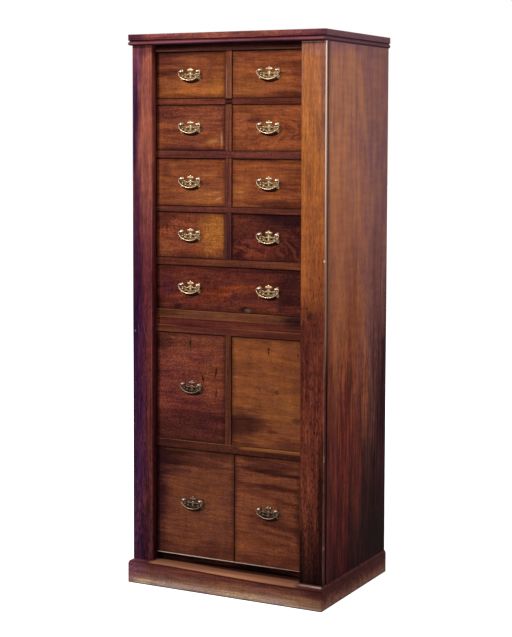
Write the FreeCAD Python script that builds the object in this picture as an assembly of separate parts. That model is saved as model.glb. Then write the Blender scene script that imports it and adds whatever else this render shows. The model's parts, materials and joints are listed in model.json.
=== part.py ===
import FreeCAD, Part
import math
import os

# A tall free-standing Wellington chest in mahogany. Sizes are in millimetres.
# The origin is on the floor under the middle of the whole chest, front towards -Y.
# A setback is a distance behind the front faces of the pilaster and the locking stile.

# Case
case_width = 725.0
case_depth = 512.0
side_thickness = 20.0
back_board_thickness = 10.0
back_board_count = 4
back_board_chamfer = 2.0

# Top
top_board_thickness = 21.0
top_front_overhang = 18.0
top_side_overhang = 6.0
top_corner_radius = 2.5
top_edge_radius = 2.0
bead_height = 13.0
bead_radius = 6.0
quirk_height = 3.0
quirk_depth = 4.0
top_moulding_width = 46.0

# Plinth
plinth_height = 78.0
plinth_front_overhang = 28.0
plinth_side_overhang = 6.0
plinth_board_thickness = 24.0
plinth_capping_height = 20.0
plinth_capping_front_width = 75.0
plinth_capping_side_width = 45.0
plinth_edge_radius = 12.0
plinth_corner_radius = 4.0
plinth_block_side = 30.0

# Left pilaster and hinged locking stile
left_pilaster_width = 76.5
pilaster_projection = 28.0
pilaster_arris_radius = 2.0
stile_width = 87.2
stile_thickness = 20.0
stile_arris_radius = 2.5
stile_back_gap = 1.0
stile_end_gap = 1.0
stile_heel_flat = 0.01

# Rails and muntins, whose faces stand behind the pilaster face
rail_depth = 35.0
muntin_width = 23.0
bottom_rail_setback = 42.0
bottom_rail_height = 25.0
lower_rail_height = 28.0
waist_lower_height = 24.0
waist_middle_height = 23.0
waist_upper_height = 30.0
waist_lower_projection = 2.0
waist_middle_recess = 3.0
long_rail_height = 25.0
small_rail_heights = [20.0, 26.0, 21.0]
top_rail_height = 22.0
rail_chamfer = 1.0

# Drawer openings, from the floor upwards
bottom_opening_height = 372.0
deep_opening_height = 370.0
long_opening_height = 153.0
small_opening_heights = [155.0, 161.0, 153.0, 157.0]
bottom_partition_width = 35.0

# Inside the carcass
dust_board_thickness = 12.0
guide_height = 18.0
runner_overlap = 16.0
stop_width = 40.0
stop_length = 20.0
stop_height = 5.0
stop_shares = (0.25, 0.75)

# Drawers
drawer_side_gap = 1.0
drawer_top_gap = 2.0
drawer_front_lift = 0.8
drawer_recess = 1.5
drawer_length = 450.0
drawer_front_thickness = 20.0
drawer_side_thickness = 10.0
drawer_back_thickness = 10.0
drawer_bottom_thickness = 7.0
drawer_bottom_lift = 9.0
drawer_groove_depth = 5.0
drawer_back_drop = 8.0
drawer_side_drop = 1.5
drawer_chamfer = 0.8
dovetail_pitch = 42.0
dovetail_lap = 6.0
dovetail_slope = 10.0
dovetail_tip_share = 0.68
drawer_travel = 300.0

# Drop handles: a wing plate, two posts and a swan-neck bail
handle_post_spacing = 63.5
handle_line_rise = 11.0
right_handle_shift = 4.0
deep_handle_shift = 6.0
bottom_handle_shift = 10.0
plate_thickness = 1.6
post_shank_radius = 2.0
post_hole_clearance = 0.15
post_collar_radius = 4.6
post_collar_height = 2.0
post_neck_radius = 3.0
post_head_radius = 5.2
bail_axis_height = 11.0
bail_pin_radius = 1.6
bail_pin_clearance = 0.06
bail_pin_engagement = 8.0
bail_radius = 2.1
bail_head_gap = 0.6
bail_neck_run = 0.95
bail_shoulder_radius = 5.0
bail_drop = 29.0
bail_corner_turn = 50.0
bail_swing = 110.0
nut_side = 9.0
nut_thickness = 3.0
post_end_length = 2.0

# Drawer locks on the two deep drawers
keyhole_radius = 2.5
keyhole_slot_width = 2.8
keyhole_slot_length = 8.0
escutcheon_rim = 1.3
escutcheon_depth = 2.0
drawer_keyhole_drop = 43.0
drawer_lock_width = 64.0
drawer_lock_height = 58.0
drawer_lock_thickness = 12.0
drawer_lock_wall = 1.5
drawer_selvedge_thickness = 2.0
drawer_bolt_width = 24.0
drawer_bolt_tail_width = 40.0
drawer_bolt_tail_height = 16.0
drawer_bolt_tail_lift = 14.0
drawer_bolt_travel = 9.0
bolt_clearance = 0.1
bolt_pocket_clearance = 0.5

# Lock of the stile, which throws its bolt through a staple on the post
stile_keyhole_inset = 46.5
stile_keyhole_height = 955.0
stile_lock_width = 40.0
stile_lock_height = 60.0
stile_lock_thickness = 12.0
stile_lock_wall = 1.5
stile_lock_left_of_keyhole = 22.0
stile_bolt_height = 8.0
stile_bolt_thickness = 4.0
stile_bolt_length = 24.0
stile_bolt_travel = 8.0
staple_plate_width = 16.0
staple_plate_height = 30.0
staple_plate_thickness = 2.0
staple_eye_width = 3.5
staple_eye_wall = 3.5
staple_eye_lip = 1.2
staple_eye_clearance = 0.5
staple_bolt_gap = 2.0
staple_slot_clearance = 3.0

# Pivots of the stile
pivot_pin_radius = 3.0
pivot_clearance = 0.06
pivot_pin_root = 12.0
pivot_pin_reach = 4.0
pivot_plate_side = 24.0
pivot_plate_thickness = 2.5
pivot_end_plate_radius = 8.5
pivot_end_plate_thickness = 2.0
pivot_collar_radius = 5.0
pivot_pocket_clearance = 1.0
stile_swing = 95.0

# Two lengths closer than this are the same
same_place = 1e-6

# Places worked out from the sizes above
overall_depth = case_depth + plinth_front_overhang
back_y = overall_depth / 2.0
case_front_y = back_y - case_depth
half_case = case_width / 2.0
inner_half = half_case - side_thickness
opening_left = -half_case + left_pilaster_width
opening_right = half_case - stile_width
muntin_left = (opening_left + opening_right - muntin_width) / 2.0
muntin_right = muntin_left + muntin_width
bottom_partition_right = muntin_left + bottom_partition_width
post_setback = stile_thickness + stile_back_gap
frame_back_setback = pilaster_projection + rail_depth
inner_back_setback = case_depth - back_board_thickness
drawer_face_setback = pilaster_projection + drawer_recess
drawer_front_back_setback = drawer_face_setback + drawer_front_thickness

bottom_floor = plinth_height + bottom_rail_height
bottom_ceiling = bottom_floor + bottom_opening_height
deep_floor = bottom_ceiling + lower_rail_height
deep_ceiling = deep_floor + deep_opening_height
waist_middle_floor = deep_ceiling + waist_lower_height
waist_upper_floor = waist_middle_floor + waist_middle_height
long_floor = waist_upper_floor + waist_upper_height
long_ceiling = long_floor + long_opening_height
small_floors = [long_ceiling + long_rail_height]
for opening_height, rail_height in zip(small_opening_heights, small_rail_heights):
    small_floors.append(small_floors[-1] + opening_height + rail_height)
small_ceilings = [floor + height for floor, height in zip(small_floors, small_opening_heights)]
case_top = small_ceilings[-1] + top_rail_height
top_moulding_height = bead_height + quirk_height
overall_height = case_top + top_moulding_height + top_board_thickness

pivot_inset = stile_thickness / 2.0
pivot_x = half_case - pivot_inset
stile_bottom = plinth_height + stile_end_gap
stile_top = case_top - stile_end_gap
stile_keyhole_x = half_case - stile_keyhole_inset


def at_setback(setback):
    """The y of a plane that lies a setback behind the front of the case."""
    return case_front_y + setback


def board(left, right, front_setback, back_setback, low, high):
    """A board between two x, two setbacks and two heights."""
    corner = FreeCAD.Vector(left, at_setback(front_setback), low)
    return Part.makeBox(right - left, back_setback - front_setback, high - low, corner)


def cylinder_along(axis, radius, length, start):
    return Part.makeCylinder(radius, length, start, axis)


def prism(points, low, high):
    """An upright prism on plan points, each an x and a setback."""
    corners = [FreeCAD.Vector(x, at_setback(setback), low) for x, setback in points]
    face = Part.Face(Part.makePolygon(corners + corners[:1]))
    return face.extrude(FreeCAD.Vector(0, 0, high - low))


def edge_is_upright(edge):
    box = edge.BoundBox
    return box.XLength < same_place and box.YLength < same_place


def edge_lies_at(edge, x=None, y=None, z=None):
    """True when the whole edge has the given coordinates."""
    box = edge.BoundBox
    limits = ((x, box.XMin, box.XMax), (y, box.YMin, box.YMax), (z, box.ZMin, box.ZMax))
    return all(want is None or (abs(low - want) < same_place and abs(high - want) < same_place)
               for want, low, high in limits)


def compound(solids):
    return Part.makeCompound(solids)


def chamfer_face_edges(shape, y, size):
    """Takes the sharp arris off every edge of the face at the given y."""
    return shape.makeChamfer(size, [edge for edge in shape.Edges if edge_lies_at(edge, y=y)])


def keyhole(x, z, front_setback, back_setback, margin=0.0):
    """A keyhole-shaped bar that runs backwards, its bow centred on x and z."""
    length = back_setback - front_setback
    start = FreeCAD.Vector(x, at_setback(front_setback), z)
    bow = cylinder_along(FreeCAD.Vector(0, 1, 0), keyhole_radius + margin, length, start)
    half_slot = keyhole_slot_width / 2.0 + margin
    slot = board(x - half_slot, x + half_slot, front_setback, back_setback,
                 z - keyhole_slot_length - margin, z)
    return bow.fuse(slot).removeSplitter()


def escutcheon(x, z, face_setback):
    """A thin keyhole lining let in flush with a wooden face."""
    back = face_setback + escutcheon_depth
    rim = keyhole(x, z, face_setback, back, escutcheon_rim)
    return rim.cut(keyhole(x, z, face_setback, back))


# Top board and the mitred moulding that carries it

def top_plan(inset=0.0):
    """Half width, front setback and back setback of the top, less an inset."""
    return half_case + top_side_overhang - inset, -top_front_overhang + inset, case_depth


def shown_edges(shape, half_width, front_setback, heights):
    """The front and side edges of a slab at the given heights."""
    front_y = at_setback(front_setback)
    found = []
    for edge in shape.Edges:
        for z in heights:
            on_front = edge_lies_at(edge, y=front_y, z=z)
            on_side = edge_lies_at(edge, x=half_width, z=z) or edge_lies_at(edge, x=-half_width, z=z)
            if on_front or on_side:
                found.append(edge)
    return found


def make_top_board():
    half_width, front, back = top_plan()
    low = overall_height - top_board_thickness
    slab = board(-half_width, half_width, front, back, low, overall_height)
    corners = [edge for edge in slab.Edges
               if edge_is_upright(edge) and edge_lies_at(edge, y=at_setback(front))]
    slab = slab.makeFillet(top_corner_radius, corners)
    long_edges = [edge for edge in slab.Edges
                  if abs(edge.BoundBox.ZLength) < same_place and edge.BoundBox.YMin < back_y - top_corner_radius]
    return slab.makeFillet(top_edge_radius, long_edges)


def mitred_strips(half_width, front, side_strip_width, front_strip_width, low, high):
    """Front, left and right strips that meet on mitres at the front corners."""
    inner = half_width - side_strip_width
    inner_front = front + front_strip_width
    front_points = [(-half_width, front), (half_width, front), (inner, inner_front), (-inner, inner_front)]
    strips = [prism(front_points, low, high)]
    for side in (-1, 1):
        points = [(side * half_width, front), (side * half_width, case_depth),
                  (side * inner, case_depth), (side * inner, inner_front)]
        strips.append(prism(points, low, high))
    return strips


def moulding_envelope():
    """The bead and the quirk above it, worked round the front and both sides."""
    half_width, front, back = top_plan()
    bead_top = case_top + bead_height
    bead = board(-half_width, half_width, front, back, case_top, bead_top)
    bead = bead.makeFillet(bead_radius, shown_edges(bead, half_width, front, (case_top, bead_top)))
    half_width, front, back = top_plan(quirk_depth)
    quirk = board(-half_width, half_width, front, back, bead_top, bead_top + quirk_height)
    return bead.fuse(quirk)


def make_top_moulding():
    envelope = moulding_envelope().cut(upper_pivot_recess())
    half_width, front, back = top_plan()
    strips = mitred_strips(half_width, front, top_moulding_width, top_moulding_width,
                           case_top, case_top + top_moulding_height)
    return compound([strip.common(envelope) for strip in strips])


# Plinth

def plinth_envelope():
    half_width = half_case + plinth_side_overhang
    block = board(-half_width, half_width, -plinth_front_overhang, case_depth, 0.0, plinth_height)
    corners = [edge for edge in block.Edges
               if edge_is_upright(edge) and edge_lies_at(edge, y=at_setback(-plinth_front_overhang))]
    block = block.makeFillet(plinth_corner_radius, corners)
    rim = [edge for edge in block.Edges
           if edge_lies_at(edge, z=plinth_height) and edge.BoundBox.YMin < back_y - plinth_corner_radius]
    return block.makeFillet(plinth_edge_radius, rim)


def make_plinth():
    half_width = half_case + plinth_side_overhang
    front = -plinth_front_overhang
    joint = plinth_height - plinth_capping_height
    envelope = plinth_envelope()
    boards = mitred_strips(half_width, front, plinth_board_thickness, plinth_board_thickness, 0.0, joint)
    capping = mitred_strips(half_width, front, plinth_capping_side_width, plinth_capping_front_width,
                            joint, plinth_height)
    pieces = [piece.common(envelope) for piece in boards]
    pieces += [piece.common(envelope).cut(lower_pivot_recess()) for piece in capping]

    inner = half_width - plinth_board_thickness
    capping_inner = half_width - plinth_capping_side_width
    back_front = case_depth - plinth_board_thickness
    pieces.append(board(-inner, inner, back_front, case_depth, 0.0, joint))
    pieces.append(board(-capping_inner, capping_inner, case_depth - plinth_capping_side_width, case_depth,
                        joint, plinth_height))
    block_front = front + plinth_board_thickness
    for side in (-1, 1):
        left, right = sorted((side * inner, side * (inner - plinth_block_side)))
        pieces.append(board(left, right, block_front, block_front + plinth_block_side, 0.0, joint))
        pieces.append(board(left, right, back_front - plinth_block_side, back_front, 0.0, joint))
    return compound(pieces)


# Case sides, back, pilaster and posts

def make_left_side():
    return board(-half_case, -inner_half, pilaster_projection, case_depth, plinth_height, case_top)


def make_right_side():
    return board(inner_half, half_case, post_setback, case_depth, plinth_height, case_top)


def make_back_boards():
    width = 2.0 * inner_half / back_board_count
    boards = []
    for index in range(back_board_count):
        left = -inner_half + index * width
        piece = board(left, left + width, inner_back_setback, case_depth, plinth_height, case_top)
        arrises = [edge for edge in piece.Edges if edge_is_upright(edge) and edge_lies_at(edge, y=back_y)]
        boards.append(piece.makeChamfer(back_board_chamfer, arrises))
    return compound(boards)


def make_left_pilaster():
    piece = board(-half_case, opening_left, 0.0, pilaster_projection, plinth_height, case_top)
    arrises = [edge for edge in piece.Edges if edge_is_upright(edge) and edge_lies_at(edge, y=case_front_y)]
    return piece.makeFillet(pilaster_arris_radius, arrises)


def make_front_posts():
    left = board(-inner_half, opening_left, pilaster_projection, frame_back_setback, plinth_height, case_top)
    right = board(opening_right, inner_half, post_setback, frame_back_setback, plinth_height, case_top)
    plate_x, plate_z = staple_eye_x(), stile_keyhole_height
    recess = board(plate_x - staple_plate_width / 2.0, plate_x + staple_plate_width / 2.0,
                   post_setback, post_setback + staple_plate_thickness,
                   plate_z - staple_plate_height / 2.0, plate_z + staple_plate_height / 2.0)
    return compound([left, right.cut(recess)])


# Front frame: rails, waist rail and muntins

def rail(low, high, setback=pilaster_projection):
    piece = board(opening_left, opening_right, setback, frame_back_setback, low, high)
    arrises = [edge for edge in piece.Edges
               if edge_lies_at(edge, y=at_setback(setback)) and not edge_is_upright(edge)]
    return piece.makeChamfer(rail_chamfer, arrises)


def rail_levels():
    """Low and high of each plain rail, from the lowest up."""
    levels = [(bottom_ceiling, deep_floor), (long_ceiling, small_floors[0])]
    levels += list(zip(small_ceilings[:-1], small_floors[1:]))
    levels.append((small_ceilings[-1], case_top))
    return levels


def make_drawer_rails():
    rails = [rail(plinth_height, bottom_floor, bottom_rail_setback)]
    rails += [rail(low, high) for low, high in rail_levels()]
    return compound(rails)


def make_waist_rail():
    lower = rail(deep_ceiling, waist_middle_floor, pilaster_projection - waist_lower_projection)
    middle = rail(waist_middle_floor, waist_upper_floor, pilaster_projection + waist_middle_recess)
    upper = rail(waist_upper_floor, long_floor)
    for drawer in drawers:
        if drawer.lock_x is not None:
            lower = lower.cut(drawer_bolt_pocket(drawer))
    return compound([lower, middle, upper])


def make_muntins():
    spans = [(deep_floor, deep_ceiling)] + list(zip(small_floors, small_ceilings))
    return compound([board(muntin_left, muntin_right, pilaster_projection, frame_back_setback, low, high)
                     for low, high in spans])


# Carcass boards, partitions, guides, runners and stops

def make_carcass_boards():
    """The case bottom, the dust boards and the case top, as wide as the case inside."""
    tops = [bottom_floor, deep_floor, deep_ceiling + dust_board_thickness, long_floor] + small_floors
    pieces = [board(-inner_half, inner_half, frame_back_setback, inner_back_setback,
                    top - dust_board_thickness, top) for top in tops]
    top_inner = half_case + top_side_overhang - top_moulding_width
    pieces.append(board(-top_inner, top_inner, top_moulding_width - top_front_overhang, case_depth,
                        case_top, case_top + top_moulding_height))
    return compound(pieces)


def side_strips(low, high, reach):
    """A pair of strips from the case sides to a little past the drawer opening."""
    return [board(-inner_half, opening_left + reach, frame_back_setback, inner_back_setback, low, high),
            board(opening_right - reach, inner_half, frame_back_setback, inner_back_setback, low, high)]


def make_drawer_guides():
    pieces = []
    floors = [bottom_floor, deep_floor, long_floor] + small_floors
    for floor in floors:
        pieces += side_strips(floor, floor + guide_height, 0.0)

    partitions = [(deep_floor, deep_ceiling)] + list(zip(small_floors, small_ceilings))
    for low, high in partitions:
        pieces.append(board(muntin_left, muntin_right, frame_back_setback, inner_back_setback, low, high))
    pieces.append(board(muntin_left, bottom_partition_right, drawer_front_back_setback, inner_back_setback,
                        bottom_floor, bottom_ceiling))

    spaces = [(plinth_height, bottom_floor - dust_board_thickness),
              (bottom_ceiling, deep_floor - dust_board_thickness),
              (deep_ceiling + dust_board_thickness, long_floor - dust_board_thickness),
              (long_ceiling, small_floors[0] - dust_board_thickness)]
    spaces += [(ceiling, floor - dust_board_thickness)
               for ceiling, floor in zip(small_ceilings[:-1], small_floors[1:])]
    spaces.append((small_ceilings[-1], case_top))
    for low, high in spaces:
        pieces += side_strips(low, high, runner_overlap)
        pieces.append(board(muntin_left - runner_overlap, bottom_partition_right + runner_overlap,
                            frame_back_setback, inner_back_setback, low, high))

    for drawer in drawers:
        for share in stop_shares:
            middle = drawer.left + (drawer.right - drawer.left) * share
            pieces.append(board(middle - stop_width / 2.0, middle + stop_width / 2.0,
                                drawer_front_back_setback, drawer_front_back_setback + stop_length,
                                drawer.floor, drawer.floor + stop_height))
    return compound(pieces)


# Drawers

class Drawer:
    """One drawer: its opening, the span of its front, its handles and its lock."""

    def __init__(self, name, left, right, floor, ceiling, handles, front_right=None, lock_x=None):
        self.name = name
        self.left = left
        self.right = right
        self.floor = floor
        self.ceiling = ceiling
        self.handles = handles
        self.front_right = right if front_right is None else front_right
        self.lock_x = lock_x
        self.handle_line = (floor + ceiling) / 2.0 + handle_line_rise
        self.front_top = ceiling - drawer_top_gap


def list_drawers():
    """Every drawer from the top row down, the left one of each row first."""
    left_middle = (opening_left + muntin_left) / 2.0
    right_middle = (muntin_right + opening_right) / 2.0
    right_handle = right_middle + right_handle_shift
    found = []
    rows = list(zip(small_floors, small_ceilings))
    for number, (floor, ceiling) in enumerate(reversed(rows), start=1):
        found.append(Drawer(f"small_drawer_{number}_left", opening_left, muntin_left, floor, ceiling,
                            [left_middle]))
        found.append(Drawer(f"small_drawer_{number}_right", muntin_right, opening_right, floor, ceiling,
                            [right_handle]))
    found.append(Drawer("long_drawer", opening_left, opening_right, long_floor, long_ceiling,
                        [left_middle, right_handle]))
    found.append(Drawer("deep_drawer_left", opening_left, muntin_left, deep_floor, deep_ceiling,
                        [left_middle + deep_handle_shift], lock_x=left_middle))
    found.append(Drawer("deep_drawer_right", muntin_right, opening_right, deep_floor, deep_ceiling,
                        [right_handle], lock_x=right_handle))
    found.append(Drawer("bottom_drawer_left", opening_left, muntin_left, bottom_floor, bottom_ceiling,
                        [left_middle + bottom_handle_shift], front_right=bottom_partition_right))
    found.append(Drawer("bottom_drawer_right", bottom_partition_right, opening_right,
                        bottom_floor, bottom_ceiling, [(bottom_partition_right + opening_right) / 2.0]))
    return found


drawers = list_drawers()
bare_drawer = "deep_drawer_right"


def drawer_side(left, right, drawer):
    """A side board with dovetails at its front end, the tails widest at their tips."""
    low = drawer.floor
    high = drawer.front_top - drawer_side_drop
    root = at_setback(drawer_front_back_setback)
    tip = at_setback(drawer_face_setback + dovetail_lap)
    end = at_setback(drawer_face_setback + drawer_length)
    count = max(2, round((high - low) / dovetail_pitch))
    pitch = (high - low) / count
    flare = (root - tip) * math.tan(math.radians(dovetail_slope))
    half_tip = dovetail_tip_share * pitch / 2.0
    outline = [(end, low), (root, low)]
    for index in range(count):
        middle = low + (index + 0.5) * pitch
        outline += [(root, middle - half_tip + flare), (tip, middle - half_tip),
                    (tip, middle + half_tip), (root, middle + half_tip - flare)]
    outline += [(root, high), (end, high)]
    corners = [FreeCAD.Vector(left, y, z) for y, z in outline]
    face = Part.Face(Part.makePolygon(corners + corners[:1]))
    return face.extrude(FreeCAD.Vector(right - left, 0, 0))


def make_drawer(drawer):
    """Front, two dovetailed sides, back and bottom, each a board of its own."""
    left = drawer.left + drawer_side_gap
    right = drawer.right - drawer_side_gap
    front_right = drawer.front_right - drawer_side_gap
    inner_left = left + drawer_side_thickness
    inner_right = right - drawer_side_thickness
    end = drawer_face_setback + drawer_length
    bottom_low = drawer.floor + drawer_bottom_lift
    bottom_high = bottom_low + drawer_bottom_thickness

    bottom = board(inner_left - drawer_groove_depth, inner_right + drawer_groove_depth,
                   drawer_front_back_setback - drawer_groove_depth, end, bottom_low, bottom_high)
    sides = [drawer_side(left, inner_left, drawer), drawer_side(inner_right, right, drawer)]
    back = board(inner_left, inner_right, end - drawer_back_thickness, end,
                 bottom_high, drawer.front_top - drawer_side_drop - drawer_back_drop)

    front = board(left, front_right, drawer_face_setback, drawer_front_back_setback,
                  drawer.floor + drawer_front_lift, drawer.front_top)
    front = chamfer_face_edges(front, at_setback(drawer_face_setback), drawer_chamfer)
    front = front.cut(sides + [bottom])
    front = front.cut(handle_holes(drawer))
    if drawer.lock_x is not None:
        front = front.cut(drawer_lock_space(drawer))
    return compound([front] + [side.cut(bottom) for side in sides] + [back, bottom])


# Drop handles, drawn about the middle of the line between the two posts

def post_places():
    return [-handle_post_spacing / 2.0, handle_post_spacing / 2.0]


def handle_holes(drawer):
    """Clearance holes for the posts through the drawer front."""
    holes = []
    radius = post_shank_radius + post_hole_clearance
    for middle in drawer.handles:
        for offset in post_places():
            start = FreeCAD.Vector(middle + offset, at_setback(drawer_face_setback), drawer.handle_line)
            holes.append(cylinder_along(FreeCAD.Vector(0, 1, 0), radius, drawer_front_thickness, start))
    return holes


def from_post(x):
    """An x across from the middle of the handle, given from its right-hand post."""
    return handle_post_spacing / 2.0 + x


# Right half of the plate outline, as arcs: each has a middle point and an end point,
# given as x across and z up from the post line.
plate_start = (0.0, 13.0)
plate_arcs = [
    ((3.6, 11.8), (4.6, 8.6)),
    ((9.2, 10.4), (12.4, 6.6)),
    ((from_post(-14.25), 2.8), (from_post(-8.25), 4.2)),
    ((from_post(0.25), 9.2), (from_post(7.45), 3.0)),
    ((from_post(4.45), -5.5), (from_post(3.45), -14.0)),
    ((from_post(7.65), -22.5), (from_post(4.65), -30.0)),
    ((from_post(-1.55), -28.6), (from_post(-6.25), -23.0)),
    ((from_post(-14.75), -18.6), (9.0, -22.5)),
    ((5.0, -26.8), (0.0, -28.0)),
]


def plate_outline():
    """The closed outline of the wing plate in the plane of the drawer face."""
    right_half = []
    start = plate_start
    for middle, end in plate_arcs:
        right_half.append((start, middle, end))
        start = end
    left_half = [tuple((-x, z) for x, z in reversed(arc)) for arc in reversed(right_half)]
    edges = []
    for arc in right_half + left_half:
        points = [FreeCAD.Vector(x, 0, z) for x, z in arc]
        edges.append(Part.Arc(*points).toShape())
    return Part.Wire(edges)


def make_plate():
    plate = Part.Face(plate_outline()).extrude(FreeCAD.Vector(0, -plate_thickness, 0))
    for offset in post_places():
        start = FreeCAD.Vector(offset, -plate_thickness, 0)
        plate = plate.cut(cylinder_along(FreeCAD.Vector(0, 1, 0), post_shank_radius + post_hole_clearance,
                                         plate_thickness, start))
    return plate


def make_post(offset):
    """A turned post: collar, neck and pierced head in front, a screwed shank behind."""
    forward = FreeCAD.Vector(0, -1, 0)
    shank_length = drawer_front_thickness + nut_thickness + post_end_length
    shank = cylinder_along(forward, post_shank_radius, shank_length + plate_thickness,
                           FreeCAD.Vector(offset, shank_length, 0))
    collar = cylinder_along(forward, post_collar_radius, post_collar_height,
                            FreeCAD.Vector(offset, -plate_thickness, 0))
    neck = cylinder_along(forward, post_neck_radius, bail_axis_height - plate_thickness,
                          FreeCAD.Vector(offset, -plate_thickness, 0))
    head = Part.makeSphere(post_head_radius, FreeCAD.Vector(offset, -bail_axis_height, 0))
    post = shank.fuse([collar, neck, head])
    eye = cylinder_along(FreeCAD.Vector(1, 0, 0), bail_pin_radius + bail_pin_clearance,
                         2.0 * post_head_radius,
                         FreeCAD.Vector(offset - post_head_radius, -bail_axis_height, 0))
    return post.cut(eye)


def make_nut(offset):
    """A square nut behind the drawer front."""
    half = nut_side / 2.0
    nut = Part.makeBox(nut_side, nut_thickness, nut_side,
                       FreeCAD.Vector(offset - half, drawer_front_thickness, -half))
    hole = cylinder_along(FreeCAD.Vector(0, 1, 0), post_shank_radius + bail_pin_clearance, nut_thickness,
                          FreeCAD.Vector(offset, drawer_front_thickness, 0))
    return nut.cut(hole)


def make_handle_mount():
    """The fixed brasses of one handle: the plate, both posts and both nuts."""
    pieces = [make_plate()]
    for offset in post_places():
        pieces += [make_post(offset), make_nut(offset)]
    return compound(pieces)


def bail_neck_start():
    """Where the bail's round bar starts, just outside a post head."""
    return handle_post_spacing / 2.0 + post_head_radius + bail_head_gap


def bail_half_width():
    return bail_neck_start() + bail_neck_run + bail_shoulder_radius


def bail_curve_radii():
    """Radii of the two arcs that carry the bail from its shoulder to its middle."""
    turn = math.radians(bail_corner_turn)
    across = bail_half_width()
    down = bail_drop - bail_shoulder_radius
    # The arcs meet in a common tangent: solve the two sums of their runs.
    a, b = 1.0 - math.cos(turn), math.cos(turn)
    c, d = math.sin(turn), 1.0 - math.sin(turn)
    determinant = a * d - b * c
    return (across * d - b * down) / determinant, (a * down - across * c) / determinant


def bail_arc(centre, radius, start_degrees, end_degrees):
    points = []
    for share in (0.0, 0.5, 1.0):
        angle = math.radians(start_degrees + (end_degrees - start_degrees) * share)
        points.append(FreeCAD.Vector(centre[0] + radius * math.cos(angle), -bail_axis_height,
                                     centre[1] + radius * math.sin(angle)))
    return Part.Arc(*points).toShape()


def make_bail():
    """A swan-neck bail hanging from two pins that turn in the post heads."""
    corner_radius, belly_radius = bail_curve_radii()
    neck_start = bail_neck_start()
    shoulder_x = bail_half_width() - bail_shoulder_radius
    corner_x = bail_half_width() - corner_radius
    level = -bail_axis_height
    half = [Part.LineSegment(FreeCAD.Vector(neck_start, level, 0),
                             FreeCAD.Vector(shoulder_x, level, 0)).toShape(),
            bail_arc((shoulder_x, -bail_shoulder_radius), bail_shoulder_radius, 90.0, 0.0),
            bail_arc((corner_x, -bail_shoulder_radius), corner_radius, 0.0, -bail_corner_turn),
            bail_arc((0.0, belly_radius - bail_drop), belly_radius, -bail_corner_turn, -90.0)]
    profile = Part.Wire(Part.makeCircle(bail_radius, FreeCAD.Vector(neck_start, level, 0),
                                        FreeCAD.Vector(1, 0, 0)))
    right = Part.Wire(half).makePipeShell([profile], True, False)
    left = right.mirror(FreeCAD.Vector(0, 0, 0), FreeCAD.Vector(1, 0, 0))
    pieces = [left]
    pin_length = neck_start - handle_post_spacing / 2.0 + bail_pin_engagement / 2.0
    for side in (-1, 1):
        start = FreeCAD.Vector(side * neck_start, level, 0)
        pieces.append(cylinder_along(FreeCAD.Vector(-side, 0, 0), bail_pin_radius, pin_length, start))
    return right.fuse(pieces).removeSplitter()


# Drawer locks

def drawer_lock_case(drawer, margin=0.0):
    """The outside of the lock case, let into the back of the drawer front."""
    x = drawer.lock_x
    top = drawer.front_top
    return board(x - drawer_lock_width / 2.0 + margin, x + drawer_lock_width / 2.0 - margin,
                 drawer_front_back_setback - drawer_lock_thickness + margin,
                 drawer_front_back_setback - margin,
                 top - drawer_lock_height + margin, top - (drawer_selvedge_thickness if margin else 0.0))


def drawer_selvedge(drawer):
    """The brass edge plate on the top edge of the drawer front."""
    x = drawer.lock_x
    top = drawer.front_top
    return board(x - drawer_lock_width / 2.0, x + drawer_lock_width / 2.0,
                 drawer_front_back_setback - drawer_lock_thickness, drawer_front_back_setback,
                 top - drawer_selvedge_thickness, top)


def drawer_keyhole_z(drawer):
    return drawer.front_top - drawer_keyhole_drop


def drawer_lock_space(drawer):
    """What the joiner cuts from the drawer front for its lock."""
    z = drawer_keyhole_z(drawer)
    return [drawer_lock_case(drawer),
            keyhole(drawer.lock_x, z, drawer_face_setback, drawer_front_back_setback),
            keyhole(drawer.lock_x, z, drawer_face_setback, drawer_face_setback + escutcheon_depth,
                    escutcheon_rim)]


def drawer_bolt_slab(drawer, width, low, high, clearance=0.0):
    x = drawer.lock_x
    inside_front = drawer_front_back_setback - drawer_lock_thickness + drawer_lock_wall
    inside_back = drawer_front_back_setback - drawer_lock_wall
    return board(x - width / 2.0 - clearance, x + width / 2.0 + clearance,
                 inside_front + bolt_clearance - clearance, inside_back - bolt_clearance + clearance,
                 low, high)


def make_drawer_lock(drawer):
    """The lock case with its selvedge, and the escutcheon in the face of the drawer."""
    top = drawer.front_top
    z = drawer_keyhole_z(drawer)
    case = drawer_lock_case(drawer).cut(drawer_lock_case(drawer, drawer_lock_wall))
    case = case.fuse(drawer_selvedge(drawer)).removeSplitter()
    case = case.cut(drawer_bolt_slab(drawer, drawer_bolt_width, top - drawer_selvedge_thickness, top,
                                     bolt_clearance))
    key_way = keyhole(drawer.lock_x, z, drawer_front_back_setback - drawer_lock_thickness,
                      drawer_front_back_setback - drawer_lock_thickness + drawer_lock_wall)
    return compound([case.cut(key_way), escutcheon(drawer.lock_x, z, drawer_face_setback)])


def make_drawer_bolt(drawer):
    """A bolt that stands flush in the selvedge and shoots up into the waist rail."""
    top = drawer.front_top
    tail_low = top - drawer_lock_height + drawer_lock_wall + drawer_bolt_tail_lift
    tail = drawer_bolt_slab(drawer, drawer_bolt_tail_width, tail_low, tail_low + drawer_bolt_tail_height)
    return tail.fuse(drawer_bolt_slab(drawer, drawer_bolt_width, tail_low, top)).removeSplitter()


def drawer_bolt_pocket(drawer):
    """The pocket under the waist rail that takes the bolt."""
    reach = drawer_bolt_travel - drawer_top_gap + bolt_pocket_clearance
    return drawer_bolt_slab(drawer, drawer_bolt_width, deep_ceiling, deep_ceiling + reach,
                            bolt_pocket_clearance)


# Locking stile with its lock, bolt, pivots and the fittings that they meet

def stile_lock_left():
    return stile_keyhole_x - stile_lock_left_of_keyhole


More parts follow.
